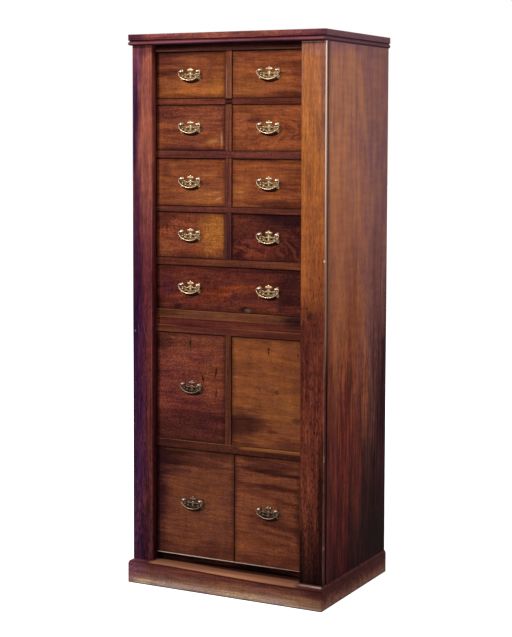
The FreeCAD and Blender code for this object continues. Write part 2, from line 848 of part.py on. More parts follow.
def staple_eye_x():
    """The staple stands a fixed gap to the left of the drawn-back bolt."""
    slot_left = stile_lock_left() + stile_lock_wall + staple_slot_clearance
    return slot_left + staple_eye_width / 2.0


def stile_bolt_left():
    return staple_eye_x() + staple_eye_width / 2.0 + staple_bolt_gap


def stile_lock_case(margin=0.0):
    left = stile_lock_left()
    z = stile_keyhole_height
    return board(left + margin, left + stile_lock_width - margin,
                 stile_thickness - stile_lock_thickness + margin, stile_thickness - margin,
                 z - stile_lock_height / 2.0 + margin, z + stile_lock_height / 2.0 - margin)


def staple_eye_front():
    """Setback of the front of the staple's eye, inside the lock."""
    return stile_bolt_front() - staple_eye_clearance - staple_eye_lip


def stile_bolt_front():
    return stile_thickness - stile_lock_wall - bolt_clearance - stile_bolt_thickness


def make_stile_lock():
    """The lock case let into the back of the stile, and the escutcheon in its face."""
    z = stile_keyhole_height
    case = stile_lock_case().cut(stile_lock_case(stile_lock_wall))
    half_width = staple_eye_width / 2.0 + staple_slot_clearance
    half_height = stile_bolt_height / 2.0 + staple_eye_wall + staple_slot_clearance
    slot = board(staple_eye_x() - half_width, staple_eye_x() + half_width,
                 stile_thickness - stile_lock_wall, stile_thickness, z - half_height, z + half_height)
    key_way = keyhole(stile_keyhole_x, z, stile_thickness - stile_lock_thickness,
                      stile_thickness - stile_lock_thickness + stile_lock_wall)
    return compound([case.cut([slot, key_way]), escutcheon(stile_keyhole_x, z, 0.0)])


def make_stile_lock_bolt():
    """A flat bolt that slides to the left through the staple."""
    left = stile_bolt_left()
    z = stile_keyhole_height
    return board(left, left + stile_bolt_length, stile_bolt_front(),
                 stile_bolt_front() + stile_bolt_thickness,
                 z - stile_bolt_height / 2.0, z + stile_bolt_height / 2.0)


def pivot_pin(low, high, radius=pivot_pin_radius):
    start = FreeCAD.Vector(pivot_x, at_setback(pivot_inset), low)
    return cylinder_along(FreeCAD.Vector(0, 0, 1), radius, high - low, start)


def pivot_square(side, low, high):
    half = side / 2.0
    return board(pivot_x - half, pivot_x + half, pivot_inset - half, pivot_inset + half, low, high)


def lower_pivot_recess():
    """Room in the plinth for the lower pivot plate and the end of its pin."""
    plate = pivot_square(pivot_plate_side, plinth_height - pivot_plate_thickness, plinth_height)
    end = plinth_height - pivot_pin_reach - pivot_pocket_clearance
    return plate.fuse(pivot_pin(end, plinth_height, pivot_pin_radius + pivot_pocket_clearance))


def upper_pivot_recess():
    """Room under the top moulding for the upper pivot plate and the end of its pin."""
    plate = pivot_square(pivot_plate_side, case_top, case_top + pivot_plate_thickness)
    end = case_top + pivot_pin_reach + pivot_pocket_clearance
    return plate.fuse(pivot_pin(case_top, end, pivot_pin_radius + pivot_pocket_clearance))


def make_stile_pivots():
    """A pin and its round end plate at each end of the stile, the lower one with a collar."""
    upper_plate = pivot_pin(stile_top - pivot_end_plate_thickness, stile_top, pivot_end_plate_radius)
    upper = upper_plate.fuse(pivot_pin(stile_top - pivot_pin_root, case_top + pivot_pin_reach))
    lower_plate = pivot_pin(stile_bottom, stile_bottom + pivot_end_plate_thickness, pivot_end_plate_radius)
    lower = lower_plate.fuse([pivot_pin(plinth_height - pivot_pin_reach, stile_bottom + pivot_pin_root),
                              pivot_pin(plinth_height, stile_bottom, pivot_collar_radius)])
    return [upper.removeSplitter(), lower.removeSplitter()]


def make_locking_stile():
    """A plain upright board, rounded behind about its pivot."""
    piece = board(opening_right, half_case, 0.0, stile_thickness, stile_bottom, stile_top)
    back_y_of_stile = at_setback(stile_thickness)
    heel = [edge for edge in piece.Edges
            if edge_is_upright(edge) and edge_lies_at(edge, x=half_case, y=back_y_of_stile)]
    piece = piece.makeFillet(pivot_inset - stile_heel_flat, heel)
    arrises = [edge for edge in piece.Edges if edge_is_upright(edge) and edge_lies_at(edge, y=case_front_y)]
    piece = piece.makeFillet(stile_arris_radius, arrises)
    z = stile_keyhole_height
    piece = piece.cut([stile_lock_case(), keyhole(stile_keyhole_x, z, 0.0, stile_thickness),
                       keyhole(stile_keyhole_x, z, 0.0, escutcheon_depth, escutcheon_rim)])
    return piece.cut(make_stile_pivots())


def make_stile_fittings():
    """The two pivot plates of the case, and the staple on the post behind the stile."""
    hole_radius = pivot_pin_radius + pivot_clearance
    lower = pivot_square(pivot_plate_side, plinth_height - pivot_plate_thickness, plinth_height)
    lower = lower.cut(pivot_pin(plinth_height - pivot_plate_thickness, plinth_height, hole_radius))
    upper = pivot_square(pivot_plate_side, case_top, case_top + pivot_plate_thickness)
    upper = upper.cut(pivot_pin(case_top, case_top + pivot_plate_thickness, hole_radius))

    x, z = staple_eye_x(), stile_keyhole_height
    plate = board(x - staple_plate_width / 2.0, x + staple_plate_width / 2.0,
                  post_setback, post_setback + staple_plate_thickness,
                  z - staple_plate_height / 2.0, z + staple_plate_height / 2.0)
    half_eye = staple_eye_width / 2.0
    half_opening = stile_bolt_height / 2.0 + staple_eye_clearance
    eye = board(x - half_eye, x + half_eye, staple_eye_front(), post_setback,
                z - half_opening - staple_eye_wall, z + half_opening + staple_eye_wall)
    opening = board(x - half_eye, x + half_eye, stile_bolt_front() - staple_eye_clearance,
                    stile_bolt_front() + stile_bolt_thickness + staple_eye_clearance,
                    z - half_opening, z + half_opening)
    return compound([lower, upper, plate.fuse(eye.cut(opening)).removeSplitter()])


def moved(shape, x, y, z):
    copy = shape.copy()
    copy.translate(FreeCAD.Vector(x, y, z))
    return copy


def short_name(drawer):
    """small_drawer_1_left becomes 1_left, and long_drawer becomes long."""
    return drawer.name.replace("small_drawer_", "").replace("_drawer", "")


def handle_places(drawer):
    """A label and an x for each handle that the drawer still has."""
    if drawer.name == bare_drawer:
        return []
    label = short_name(drawer)
    if len(drawer.handles) == 1:
        return [(label, drawer.handles[0])]
    return [(f"{label}_{side}", x) for side, x in zip(("left", "right"), drawer.handles)]


def make_nodes():
    """Every sub-part of the chest under its name."""
    nodes = {
        "top_board": make_top_board(),
        "top_moulding": make_top_moulding(),
        "left_side": make_left_side(),
        "right_side": make_right_side(),
        "back_boards": make_back_boards(),
        "plinth": make_plinth(),
        "left_pilaster": make_left_pilaster(),
        "front_posts": make_front_posts(),
        "drawer_rails": make_drawer_rails(),
        "waist_rail": make_waist_rail(),
        "muntins": make_muntins(),
        "carcass_boards": make_carcass_boards(),
        "drawer_guides": make_drawer_guides(),
        "stile_fittings": make_stile_fittings(),
        "locking_stile": make_locking_stile(),
        "stile_pivots": compound(make_stile_pivots()),
        "stile_lock": make_stile_lock(),
        "stile_lock_bolt": make_stile_lock_bolt(),
    }
    mount = make_handle_mount()
    bail = make_bail()
    face_y = at_setback(drawer_face_setback)
    for drawer in drawers:
        nodes[drawer.name] = make_drawer(drawer)
        places = handle_places(drawer)
        mounts = [moved(mount, x, face_y, drawer.handle_line) for label, x in places]
        if mounts:
            solids = [solid for shape in mounts for solid in shape.Solids]
            nodes[f"handle_plate_{short_name(drawer)}"] = compound(solids)
        for label, x in places:
            nodes[f"bail_{label}"] = moved(bail, x, face_y, drawer.handle_line)
        if drawer.lock_x is not None:
            nodes[f"lock_{short_name(drawer)}"] = make_drawer_lock(drawer)
            nodes[f"lock_bolt_{short_name(drawer)}"] = make_drawer_bolt(drawer)
    return nodes


os.makedirs("parts", exist_ok=True)
for node_name, node_shape in make_nodes().items():
    node_shape.exportStep(f"parts/{node_name}.step")
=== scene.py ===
import json
from functools import reduce
from math import asin, atan2, cos, hypot, pi, radians, sin, sqrt, tan, tau

import bmesh
import bpy
from mathutils import Matrix, Vector

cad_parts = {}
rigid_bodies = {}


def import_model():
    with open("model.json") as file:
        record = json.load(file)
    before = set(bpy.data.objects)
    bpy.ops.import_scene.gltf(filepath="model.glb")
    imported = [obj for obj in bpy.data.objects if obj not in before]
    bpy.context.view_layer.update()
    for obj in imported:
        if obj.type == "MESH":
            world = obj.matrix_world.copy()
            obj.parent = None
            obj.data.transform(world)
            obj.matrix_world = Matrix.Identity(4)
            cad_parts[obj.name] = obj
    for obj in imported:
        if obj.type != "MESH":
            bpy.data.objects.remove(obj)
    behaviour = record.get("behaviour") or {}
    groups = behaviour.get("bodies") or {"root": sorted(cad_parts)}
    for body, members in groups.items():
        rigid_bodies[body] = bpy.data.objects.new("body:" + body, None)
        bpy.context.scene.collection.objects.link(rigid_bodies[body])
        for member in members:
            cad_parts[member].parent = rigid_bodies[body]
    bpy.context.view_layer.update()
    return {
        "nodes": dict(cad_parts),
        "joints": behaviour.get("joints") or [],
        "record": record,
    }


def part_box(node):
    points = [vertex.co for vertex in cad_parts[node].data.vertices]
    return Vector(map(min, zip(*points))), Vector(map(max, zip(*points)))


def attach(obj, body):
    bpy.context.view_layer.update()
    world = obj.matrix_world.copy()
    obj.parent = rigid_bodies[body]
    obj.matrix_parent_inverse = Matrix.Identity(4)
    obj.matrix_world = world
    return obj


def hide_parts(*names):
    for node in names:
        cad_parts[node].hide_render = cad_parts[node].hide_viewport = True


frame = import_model()

# A tall mahogany Wellington chest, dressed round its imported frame. Lengths are in metres.
# The front looks towards -Y, the hinged locking stile is at +X, and the floor is at z = 0.

MM = 0.001

# The photograph's view
IMAGE_WIDTH = 512
IMAGE_HEIGHT = 637
FOCAL_PIXELS = 1546.0
CENTRE_PIXEL = (255.1, 245.2)
CAMERA_PLACE = (2.4411, -4.729, 1.5403)
CAMERA_YAW = 27.463
CAMERA_PITCH = 4.052
CAMERA_ROLL = 0.166
SENSOR_WIDTH = 36.0

# The studio: lamps as (name, place, target, diameter, power), and the light from all round
LAMPS = (("key_lamp", (-2.2, -4.6, 4.6), (0.0, -0.2, 0.9), 0.9, 262.0),
         ("side_lamp", (3.9, -0.9, 3.4), (0.3, 0.0, 1.3), 1.6, 116.0),
         ("back_lamp", (-3.4, 4.6, 3.6), (0.0, 0.2, 0.9), 1.6, 170.0))
EVEN_LIGHT = 0.18
FLOOR_HALF = 40.0

# The drawers' faces, and the backs of their front boards
FACE_Y = -0.2125
FRONT_BACK_Y = -0.1925
# The drop handles as (bail, drawer, x, z)
BAILS = [(joint["child"], joint["parent"], joint["pos_m"][0], joint["pos_m"][2])
         for joint in frame["joints"] if joint["child"].startswith("bail_")]


def tone(code):
    """A colour written as six hex digits of sRGB, ready for a shader socket."""
    parts = [int(code[i:i + 2], 16) / 255.0 for i in (0, 2, 4)]
    return tuple(part / 12.92 if part <= 0.04045 else ((part + 0.055) / 1.055) ** 2.4 for part in parts) + (1.0,)


def grey(value):
    return (value, value, value, 1.0)


def length(u, v):
    return (u ** 2.0 + v ** 2.0) ** 0.5


# Shader arithmetic

def by_maths(operation, swapped=False):
    """The method of an operator, which adds its Math node."""
    def method(*terms):
        return terms[0].nodes.maths(operation, *(reversed(terms) if swapped else terms))
    return method


class Field:
    """A value that varies over a surface. Arithmetic on it adds the Math nodes that work it out."""

    def __init__(self, nodes, socket):
        self.nodes = nodes
        self.socket = socket

    __add__ = __radd__ = by_maths("ADD")
    __sub__ = by_maths("SUBTRACT")
    __rsub__ = by_maths("SUBTRACT", swapped=True)
    __mul__ = __rmul__ = by_maths("MULTIPLY")
    __truediv__ = by_maths("DIVIDE")
    __pow__ = by_maths("POWER")
    __abs__ = by_maths("ABSOLUTE")


class Nodes:
    """A node tree, built node by node."""

    def __init__(self, owner):
        owner.use_nodes = True
        self.tree = owner.node_tree
        self.tree.nodes.clear()

    def node(self, kind, settings=None, inputs=None, out=0):
        """Adds a node, sets it up, fills or links its sockets and gives one of its outputs."""
        made = self.tree.nodes.new("ShaderNode" + kind)
        for key, value in (settings or {}).items():
            setattr(made, key, value)
        for key, value in (inputs or {}).items():
            if isinstance(value, Field):
                self.tree.links.new(value.socket, made.inputs[key])
            else:
                made.inputs[key].default_value = value
        return Field(self, made.outputs[out])

    def parts(self, vector):
        """The three numbers of a vector."""
        split = self.node("SeparateXYZ", inputs={0: vector}).socket.node
        return [Field(self, output) for output in split.outputs]

    def maths(self, operation, *terms):
        return self.node("Math", {"operation": operation}, dict(enumerate(terms)))

    def smallest(self, *terms):
        return reduce(lambda first, second: self.maths("MINIMUM", first, second), terms)

    def largest(self, *terms):
        return reduce(lambda first, second: self.maths("MAXIMUM", first, second), terms)

    def rise(self, value, start, end, low=0.0, high=1.0):
        """Runs smoothly from low to high as the value goes from start to end."""
        return self.node("MapRange", {"interpolation_type": "SMOOTHSTEP"},
                         {"Value": value, "From Min": start, "From Max": end, "To Min": low, "To Max": high})

    def band(self, value, low, high, soft):
        """One between low and high, and none beyond, with soft edges."""
        return self.rise(value, low - soft, low + soft) * self.rise(value, high - soft, high + soft, 1.0, 0.0)

    def vector(self, operation, first, second):
        return self.node("VectorMath", {"operation": operation}, {0: first, 1: second})

    def noise(self, place, scale, detail=3.0, roughness=0.55, distortion=0.0):
        return self.node("TexNoise", {"noise_dimensions": "3D"},
                         {"Vector": place, "Scale": scale, "Detail": detail,
                          "Roughness": roughness, "Distortion": distortion})

    def ramp(self, value, stops):
        """A colour that follows a value from 0 to 1 through named tones."""
        colour = self.node("ValToRGB", {}, {0: value})
        elements = colour.socket.node.color_ramp.elements
        while len(elements) < len(stops):
            elements.new(1.0)
        for element, (place, code) in zip(elements, stops):
            element.position = place
            element.color = tone(code)
        return colour

    def blend(self, first, second, factor, how="MIX"):
        """One colour over another. Either may be a tone's six digits."""
        first, second = [tone(part) if isinstance(part, str) else part for part in (first, second)]
        return self.node("Mix", {"data_type": "RGBA", "blend_type": how}, {0: factor, 6: first, 7: second}, out=2)

    def tinted(self, colour, by, strength=1.0):
        return self.blend(colour, by, strength, "MULTIPLY")

    def layers(self, colour, rows):
        """Lays colours over one another, each row being one of them, its strength and how it is laid."""
        for row in rows:
            colour = self.blend(colour, *row)
        return colour

    def end(self, kind, shader):
        output = self.tree.nodes.new("ShaderNodeOutput" + kind)
        self.tree.links.new(shader.socket, output.inputs["Surface"])


class Finish(Nodes):
    """One material, and the place of each point on it."""

    def __init__(self, name):
        self.material = bpy.data.materials.new(name)
        super().__init__(self.material)
        self.here = self.node("TexCoord", out="Object")
        self.x, self.y, self.z = self.parts(self.here)

    def surface(self, colour, roughness, height, strength, distance, **constants):
        """Ends the material in one glossy shader with a bump. The constants are that shader's own."""
        normal = self.node("Bump", {}, {"Strength": strength, "Distance": distance, "Height": height})
        inputs = {"Base Color": colour, "Roughness": roughness, "Normal": normal}
        for key, value in constants.items():
            inputs[key.replace("_", " ")] = value
        self.end("Material", self.node("BsdfPrincipled", {}, inputs))
        return self.material


# The view

def add_object(name, data):
    made = bpy.data.objects.new(name, data)
    bpy.context.scene.collection.objects.link(made)
    return made


def make_camera():
    yaw, pitch, roll = (radians(angle) for angle in (CAMERA_YAW, CAMERA_PITCH, CAMERA_ROLL))
    forward = Vector((-sin(yaw) * cos(pitch), cos(yaw) * cos(pitch), -sin(pitch)))
    level = Vector((cos(yaw), sin(yaw), 0.0))
    upright = level.cross(forward)
    right = cos(roll) * level + sin(roll) * upright
    up = cos(roll) * upright - sin(roll) * level
    data = bpy.data.cameras.new("camera")
    data.sensor_width = SENSOR_WIDTH
    data.lens = FOCAL_PIXELS * SENSOR_WIDTH / IMAGE_HEIGHT
    data.shift_x = (IMAGE_WIDTH / 2.0 - CENTRE_PIXEL[0]) / IMAGE_HEIGHT
    data.shift_y = (CENTRE_PIXEL[1] - IMAGE_HEIGHT / 2.0) / IMAGE_HEIGHT
    data.clip_start = 0.1
    data.clip_end = 100.0
    camera = add_object("camera", data)
    camera.matrix_world = (Matrix.Translation(CAMERA_PLACE)
                           @ Matrix((right, up, -forward)).transposed().to_4x4())
    bpy.context.scene.camera = camera


def make_lamp(name, place, target, size, energy):
    data = bpy.data.lights.new(name, "AREA")
    data.shape = "DISK"
    data.size = size
    data.energy = energy
    lamp = add_object(name, data)
    lamp.location = place
    aim = Vector(target) - Vector(place)
    lamp.rotation_mode = "QUATERNION"
    lamp.rotation_quaternion = aim.to_track_quat("-Z", "Y")


def make_world():
    """White to the eye and in reflections, and a low even light on everything else."""
    world = bpy.data.worlds.new("studio")
    bpy.context.scene.world = world
    studio = Nodes(world)
    rays = [studio.node("LightPath", out=ray) for ray in ("Is Camera Ray", "Is Glossy Ray", "Is Transmission Ray")]
    even, white = [studio.node("Background", {}, {"Color": grey(1.0), "Strength": strength})
                   for strength in (EVEN_LIGHT, 1.0)]
    studio.end("World", studio.node("MixShader", {}, {0: studio.largest(*rays), 1: even, 2: white}))


def make_floor():
    """Paper that keeps the shadow and is white everywhere else."""
    mesh = bpy.data.meshes.new("studio_floor")
    mesh.from_pydata([(x * FLOOR_HALF, y * FLOOR_HALF, 0.0) for x, y in ((-1, -1), (1, -1), (1, 1), (-1, 1))],
                     [], [(0, 1, 2, 3)])
    floor = add_object("studio_floor", mesh)
    paper = Finish("white_floor")
    seen = paper.node("LightPath", out="Is Camera Ray")
    away = paper.rise(length(paper.x, paper.y), 0.5, 2.5)
    glow = paper.blend(grey(0.0), paper.blend(grey(0.72), grey(1.0), away), seen)
    paper.end("Material", paper.node("BsdfPrincipled", {}, {
        "Base Color": grey(0.8), "Roughness": 0.9, "Specular IOR Level": 0.0,
        "Emission Color": glow, "Emission Strength": 1.0}))
    mesh.materials.append(paper.material)


make_camera()
make_world()
make_floor()
for lamp in LAMPS:
    make_lamp(*lamp)
bpy.context.scene.view_settings.view_transform = "Standard"


# Wood

ALONG = {"x": Vector((1, 0, 0)), "y": Vector((0, 1, 0)), "z": Vector((0, 0, 1))}


class Wood(Finish):
    """A board with its grain along one axis. Reach is how far its streaks run, against their width, grit
    is how fine its mottling is, and draw is how far that runs along the grain."""

    def __init__(self, name, along, seed, wander=12.0, wave=3.0, reach=9.0, grit=240.0, draw=1.5):
        super().__init__(name)
        self.along = ALONG[along]
        self.across = Vector((1, 1, 1)) - self.along
        self.reach = reach
        seeded = self.vector("ADD", self.here, (seed * 0.731, seed * 0.417, seed * 0.563))
        drift = self.noise(self.vector("MULTIPLY", seeded, self.lengthened(0.45)), wave, 2.0, 0.5)
        shift = (drift - 0.5) * (2.0 * wander * MM)
        offset = self.node("VectorMath", {"operation": "SCALE"}, {0: tuple(self.across), "Scale": shift})
        self.place = self.vector("ADD", seeded, offset)
        self.streaks = self.drawn(52.0, 1.0) * 0.6 + self.drawn(150.0, 1.4) * 0.4
        self.lines = self.drawn(420.0, 2.0, 2.0)
        self.pores = self.rise(self.grain_noise(900.0, 2.5, 1.0), 0.62, 0.72)
        self.clouds = self.drawn(8.0, 0.3, half=0.18)
        self.blotches = self.drawn(34.0, 0.28, half=0.18)
        crosswise = self.vector("MULTIPLY", self.place, tuple(self.across * 0.2 + self.along))
        self.ripple = self.rise(self.noise(crosswise, 48.0, 2.0), 0.36, 0.64)
        self.mottle = self.drawn(grit, draw / reach)
        self.specks = self.rise(self.grain_noise(grit * 1.4, draw / reach, 1.0), 0.63, 0.72)

    def lengthened(self, share):
        """Scales that draw a pattern out along the grain."""
        return tuple(self.across + self.along * share)

    def grain_noise(self, scale, reach, detail, distortion=0.0):
        """Noise drawn out along the grain, reach being against the board's own."""
        stretched = self.vector("MULTIPLY", self.place, self.lengthened(1.0 / (self.reach * reach)))
        return self.noise(stretched, scale, detail, 0.58, distortion)

    def drawn(self, scale, reach, detail=3.0, half=0.16):
        """Grain noise with its contrast raised, half being how far about the middle it still varies."""
        return self.rise(self.grain_noise(scale, reach, detail), 0.5 - half, 0.5 + half)

    def figure(self, scale, reach, rings, twist):
        """The dark swirling lines of crotch wood: 1 in a line, 0 between lines."""
        ring = self.maths("PINGPONG", self.grain_noise(scale, reach, 2.0, twist) * rings, 0.5) * 2.0
        return self.rise(ring, 0.5, 0.0)

    def rays(self, x, z):
        """Streaks that run out from a point on the board, as they do in crotch wood."""
        du = self.x - x
        dv = self.z - z
        turn = self.maths("ARCTAN2", dv, du) + (self.clouds - 0.5) * 0.5
        fan = self.node("CombineXYZ", inputs={0: turn * 9.0, 1: length(du, dv) * 22.0, 2: 0.0})
        return self.rise(self.noise(fan, 1.0, 3.0), 0.36, 0.64)

    def patch(self, u, v, spot, ragged=0.5):
        """A soft patch, 1 within the spot. A spot is u, v, half width and half height, in shares of the board,
        and its turn in degrees if it has one."""
        middle_u, middle_v, half_u, half_v, turn = (*spot, 0.0)[:5]
        du = u - middle_u
        dv = v - middle_v
        c = cos(radians(turn))
        s = sin(radians(turn))
        edge = length((du * c + dv * s) / half_u, (dv * c - du * s) / half_v)
        edge = edge + (self.streaks - 0.5) * ragged + (self.clouds - 0.5) * ragged
        return self.rise(edge, 1.3, 0.3)

    def spotted(self, colour, spots, u, v, ragged=0.5):
        """Lays patches over a colour, each written as its spot, tone and strength, with ; between them."""
        for spot in filter(None, spots.split(";")):
            *spot, code, strength = spot.split()
            colour = self.blend(colour, code, self.patch(u, v, map(float, spot), ragged) * float(strength))
        return colour

    def grained(self, colour, depth, speckle, fine=0.26, keep=1.0):
        """Darker and lighter streaks, fine lines, mottling and pores over a ground colour."""
        low = tuple(1.0 - part * depth for part in (0.44, 0.54, 0.54)) + (1.0,)
        high = tuple(1.0 + part * depth for part in (0.4, 0.46, 0.3)) + (1.0,)
        colour = self.tinted(colour, self.blend(low, high, self.streaks), keep)
        warmth = self.blend((0.84, 0.8, 0.98, 1.0), (1.2, 1.16, 0.92, 1.0), self.blotches)
        colour = self.tinted(colour, warmth, 0.75)
        colour = self.tinted(colour, self.ripple * 0.12 + 0.94)
        colour = self.tinted(colour, self.lines * fine + (1.0 - fine / 2.0))
        colour = self.tinted(colour, (self.mottle - 0.5) * speckle + 1.0)
        return self.layers(colour, [("140606", self.specks * speckle), ("1c0a06", self.pores * 0.35)])

    def polished(self, colour, gloss=0.025):
        """Old wax polish over open grain."""
        rough = (1.0 - self.lines) * 0.08 + self.pores * 0.2 + self.clouds * 0.08 + 0.4
        grain = self.lines * 0.35 + self.streaks * 0.25 - self.pores * 0.8
        return self.surface(colour, rough, grain, 0.3, 0.0003, Specular_IOR_Level=gloss)

    def dry(self, colour):
        """Bare wood that was never polished."""
        grain = self.lines * 0.5 + self.streaks * 0.3 - self.pores
        return self.surface(colour, self.lines * 0.1 + 0.72, grain, 0.5, 0.0004, Specular_IOR_Level=0.08)


def span(node):
    """The box of a node as ((x0, x1), (y0, y1), (z0, z1))."""
    return tuple(zip(*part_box(node)))


def share(value, limits):
    """A place between two limits as a share from 0 to 1."""
    return (value - limits[0]) / (limits[1] - limits[0])


def set_finish(material, *nodes):
    """Gives CAD nodes their finish."""
    for node in nodes:
        for slot in frame["nodes"][node].material_slots:
            slot.material = material


# Drawers

LAP = 6.0 * MM
TAIL_PITCH = 42.0 * MM
TAIL_SHARE = 0.68
TAIL_SLOPE = tan(radians(10.0))
SIDE_BOARD = 11.0 * MM
GROOVE_MARGIN = 1.5 * MM
# How far the painted shade and soiling reach in from a drawer's edges
DIRT_AND_SHADE_REACH = (3.6 * MM, 1.2 * MM)


def lining_mask(wood, node):
    """One on the sides, back and bottom of a drawer, and none on its front board. Behind the lap, the
    side boards come through the front as dovetails."""
    (x0, x1), _, (z0, z1) = span(node)
    behind = wood.rise(wood.y, FRONT_BACK_Y + 0.0001, FRONT_BACK_Y + 0.0003)
    high = z1 - z0 - GROOVE_MARGIN
    pitch = high / max(2, round(high / TAIL_PITCH))
    tip = FACE_Y + LAP
    half = TAIL_SHARE * pitch / 2.0 - (wood.y - tip) * TAIL_SLOPE
    from_middle = abs(wood.maths("FRACT", (wood.z - z0) / pitch) - 0.5) * pitch
    tail = wood.maths("GREATER_THAN", half, from_middle) * wood.maths("GREATER_THAN", wood.y, tip)
    near_side = wood.maths("LESS_THAN", wood.smallest(wood.x - x0, x1 - wood.x), SIDE_BOARD)
    return wood.largest(behind, tail * near_side)


def handle_dirt_and_shadow(wood, node):
    """Soiling and painted shadow behind the handles, seen through the plates' openings, and under each bail a dark
    crescent that is its painted shadow, set a little to the right, with the soiled hollow the bail has made under
    itself.
    """
    dirt_and_shade = 0.0
    for _, drawer, x, z in BAILS:
        if drawer == node:
            dx, dz, rise = wood.x - x, wood.z - z, wood.rise
            behind = length(dx / (25.0 * MM), (dz + 13.0 * MM) / (8.0 * MM))
            swing = length((dx - 2.0 * MM) / (39.0 * MM), (dz + 16.5 * MM) / (22.5 * MM))
            # Painted shadow of the bail, with soiling, in a crescent below it
            groove_and_shadow = rise(swing, 1.08, 0.92) * rise(dz, -12.0 * MM, -23.0 * MM)
            dirt_and_shade = wood.largest(dirt_and_shade, rise(behind, 1.1, 0.8) * 0.85, groove_and_shadow)
    return dirt_and_shade


def dress_drawer(node, seed, ground, patches="", marks="", depth=0.85, figure=None, wander=12.0, speckle=0.35,
                 fans=(), seam=None, head=0.7):
    """A drawer: a figured mahogany front, and plainer linings behind it. Fans are where the grain spreads
    out from a point, given as a spot, the point in the same shares, and a strength. Seam and head are how
    dark the painted shade and soiling are beside the muntin and along the upper edge."""
    wood = Wood(node + "_mahogany", "x", seed, wander)
    x, z, clouds, rise = wood.x, wood.z, wood.clouds, wood.rise
    (x0, x1), _, (z0, z1) = span(node)
    u, v = share(x, (x0, x1)), share(z, (z0, z1))
    colour = wood.tinted(ground, (1.25, 1.28, 1.2, 1.0), clouds * 0.5)
    colour = wood.spotted(colour, patches, u, v)
    if figure:
        code, strength, spot, *settings = figure
        lines = wood.figure(*settings)
        if spot:
            lines = lines * wood.patch(u, v, spot)
        colour = wood.blend(colour, code, lines * strength)
    keep = 1.0
    for spot, (from_u, from_v), strength in fans:
        fan = wood.patch(u, v, spot)
        streaks = wood.rays(x0 + from_u * (x1 - x0), z0 + from_v * (z1 - z0))
        tint = wood.blend((0.5, 0.42, 0.5, 1.0), (1.4, 1.42, 1.25, 1.0), streaks)
        colour = wood.tinted(colour, tint, fan * strength)
        keep = keep - fan * (0.75 * strength)
    colour = wood.grained(colour, depth, speckle, keep=wood.largest(keep, 0.2) if fans else 1.0)
    colour = wood.spotted(colour, marks, u, v)

    # Painted shade with some soiling round the front's edges, darkest along the left and upper edges and beside the
    # muntin; the lighter line by the muntin and the pale line along the lower arris are painted highlights.
    left, right, below, above = x - x0, x1 - x, z - z0, z1 - z
    rim = wood.smallest(left, right, below, above) + (clouds - 0.5) * 0.008
    rows = [("0e0403", handle_dirt_and_shadow(wood, node) * 0.92), ("200c08", rise(rim, 0.019, 0.001) * 0.4)]
    at_left, at_foot, at_head = [rise(edge, *DIRT_AND_SHADE_REACH) for edge in (left, below, above)]
    if seam is None:
        at_muntin = rise(right, *DIRT_AND_SHADE_REACH) * (0.4 if node.endswith("left") else 0.9)
    else:
        at_muntin = wood.band(right, 0.0034, 0.0064, 0.0008) * seam
        rows.append(("6a3a30", rise(right, 0.004, 0.003) * 0.8))
    lowest = node.startswith("bottom")
    dirt_and_shade = wood.largest(at_left * 0.9, at_head * head, at_muntin, at_foot * (0.3 if lowest else 0.75))
    rows.append(("140605", dirt_and_shade * (1.0 - wood.blotches * 0.3)))
    if lowest:
        arris = rise(below, 0.0046, 0.0034) * rise(clouds, 0.1, 0.5, 0.5, 1.0)
        rows.append(("e4c8b8", arris * rise(x, 0.25, -0.2, 0.45, 0.95)))
    else:
        rows.append(("8c5c38", rise(below, 0.0022, 0.001) * rise(clouds, 0.35, 0.7) * 0.45))
    lining = wood.blend("a67e56", "875f3d", clouds)
    lining = wood.layers(lining, [("6f4a30", (1.0 - wood.lines) * 0.35), ("6b4a2e", rise(wood.y, -0.19, 0.2) * 0.3)])
    rows.append((lining, lining_mask(wood, node)))
    set_finish(wood.polished(wood.layers(colour, rows)), node)


dress_drawer("small_drawer_1_left", seed=1, ground="7b4229", seam=0.4,
    patches=""".6 .14 .62 .3 92522b .85; .12 .85 .3 .3 582824 .8; .18 .55 .2 .08 -4 4c2418 .8;
    .88 .22 .14 .2 9a5c28 .6""")
dress_drawer("small_drawer_1_right", seed=2, ground="84472b",
    patches=".15 .2 .3 .3 864e29 .8; .3 .92 .6 .12 904c32 .6; .75 .08 .3 .1 -5 5e2e1c .6; .9 .6 .2 .4 6e3622 .7")
dress_drawer("small_drawer_2_left", seed=3, ground="7d422d", speckle=0.6, seam=0.75, head=0.5,
    patches=""".12 .85 .4 .24 -8 562826 .65; .78 .24 .22 .18 824529 .7; .2 .4 .3 .08 5c2a20 .6;
    .55 .62 .2 .16 8e5030 .6; .5 .15 .16 .14 864836 .7; .5 0 .6 .06 4a2226 .6""",
    marks=".945 .24 .014 .15 b88c64 .6; .81 .2 .09 .05 20 a87440 .6")
dress_drawer("small_drawer_2_right", seed=4, ground="86472b", speckle=0.4, head=0.15,
    patches=""".15 .9 .28 .2 -25 7c4526 .7; .6 .9 .3 .12 93522d .7; .25 .3 .3 .3 86482a .6;
    .3 .68 .1 .12 -30 5e2c22 .7""",
    fans=[((0.45, 0.22, 0.4, 0.34), (0.5, 1.3), 0.55), ((0.88, 0.55, 0.22, 0.5, 20), (0.3, 1.5), 0.6)])
dress_drawer("small_drawer_3_left", seed=5, ground="7e432a", seam=0.1,
    patches=".14 .78 .13 .18 562a22 .85; .7 .2 .45 .2 925630 .8",
    marks=".9 .17 .06 .02 35 bc8c54 .6; .74 .66 .12 .02 4 a87442 .5; .86 .3 .07 .02 10 ac7c46 .5")
dress_drawer("small_drawer_3_right", seed=6, ground="804429",
    patches=".1 .25 .22 .3 94562d .8; .6 .06 .6 .1 5a2c20 .8; .88 .5 .2 .4 743c26 .6",
    marks=".12 .32 .08 .03 10 b08044 .6")
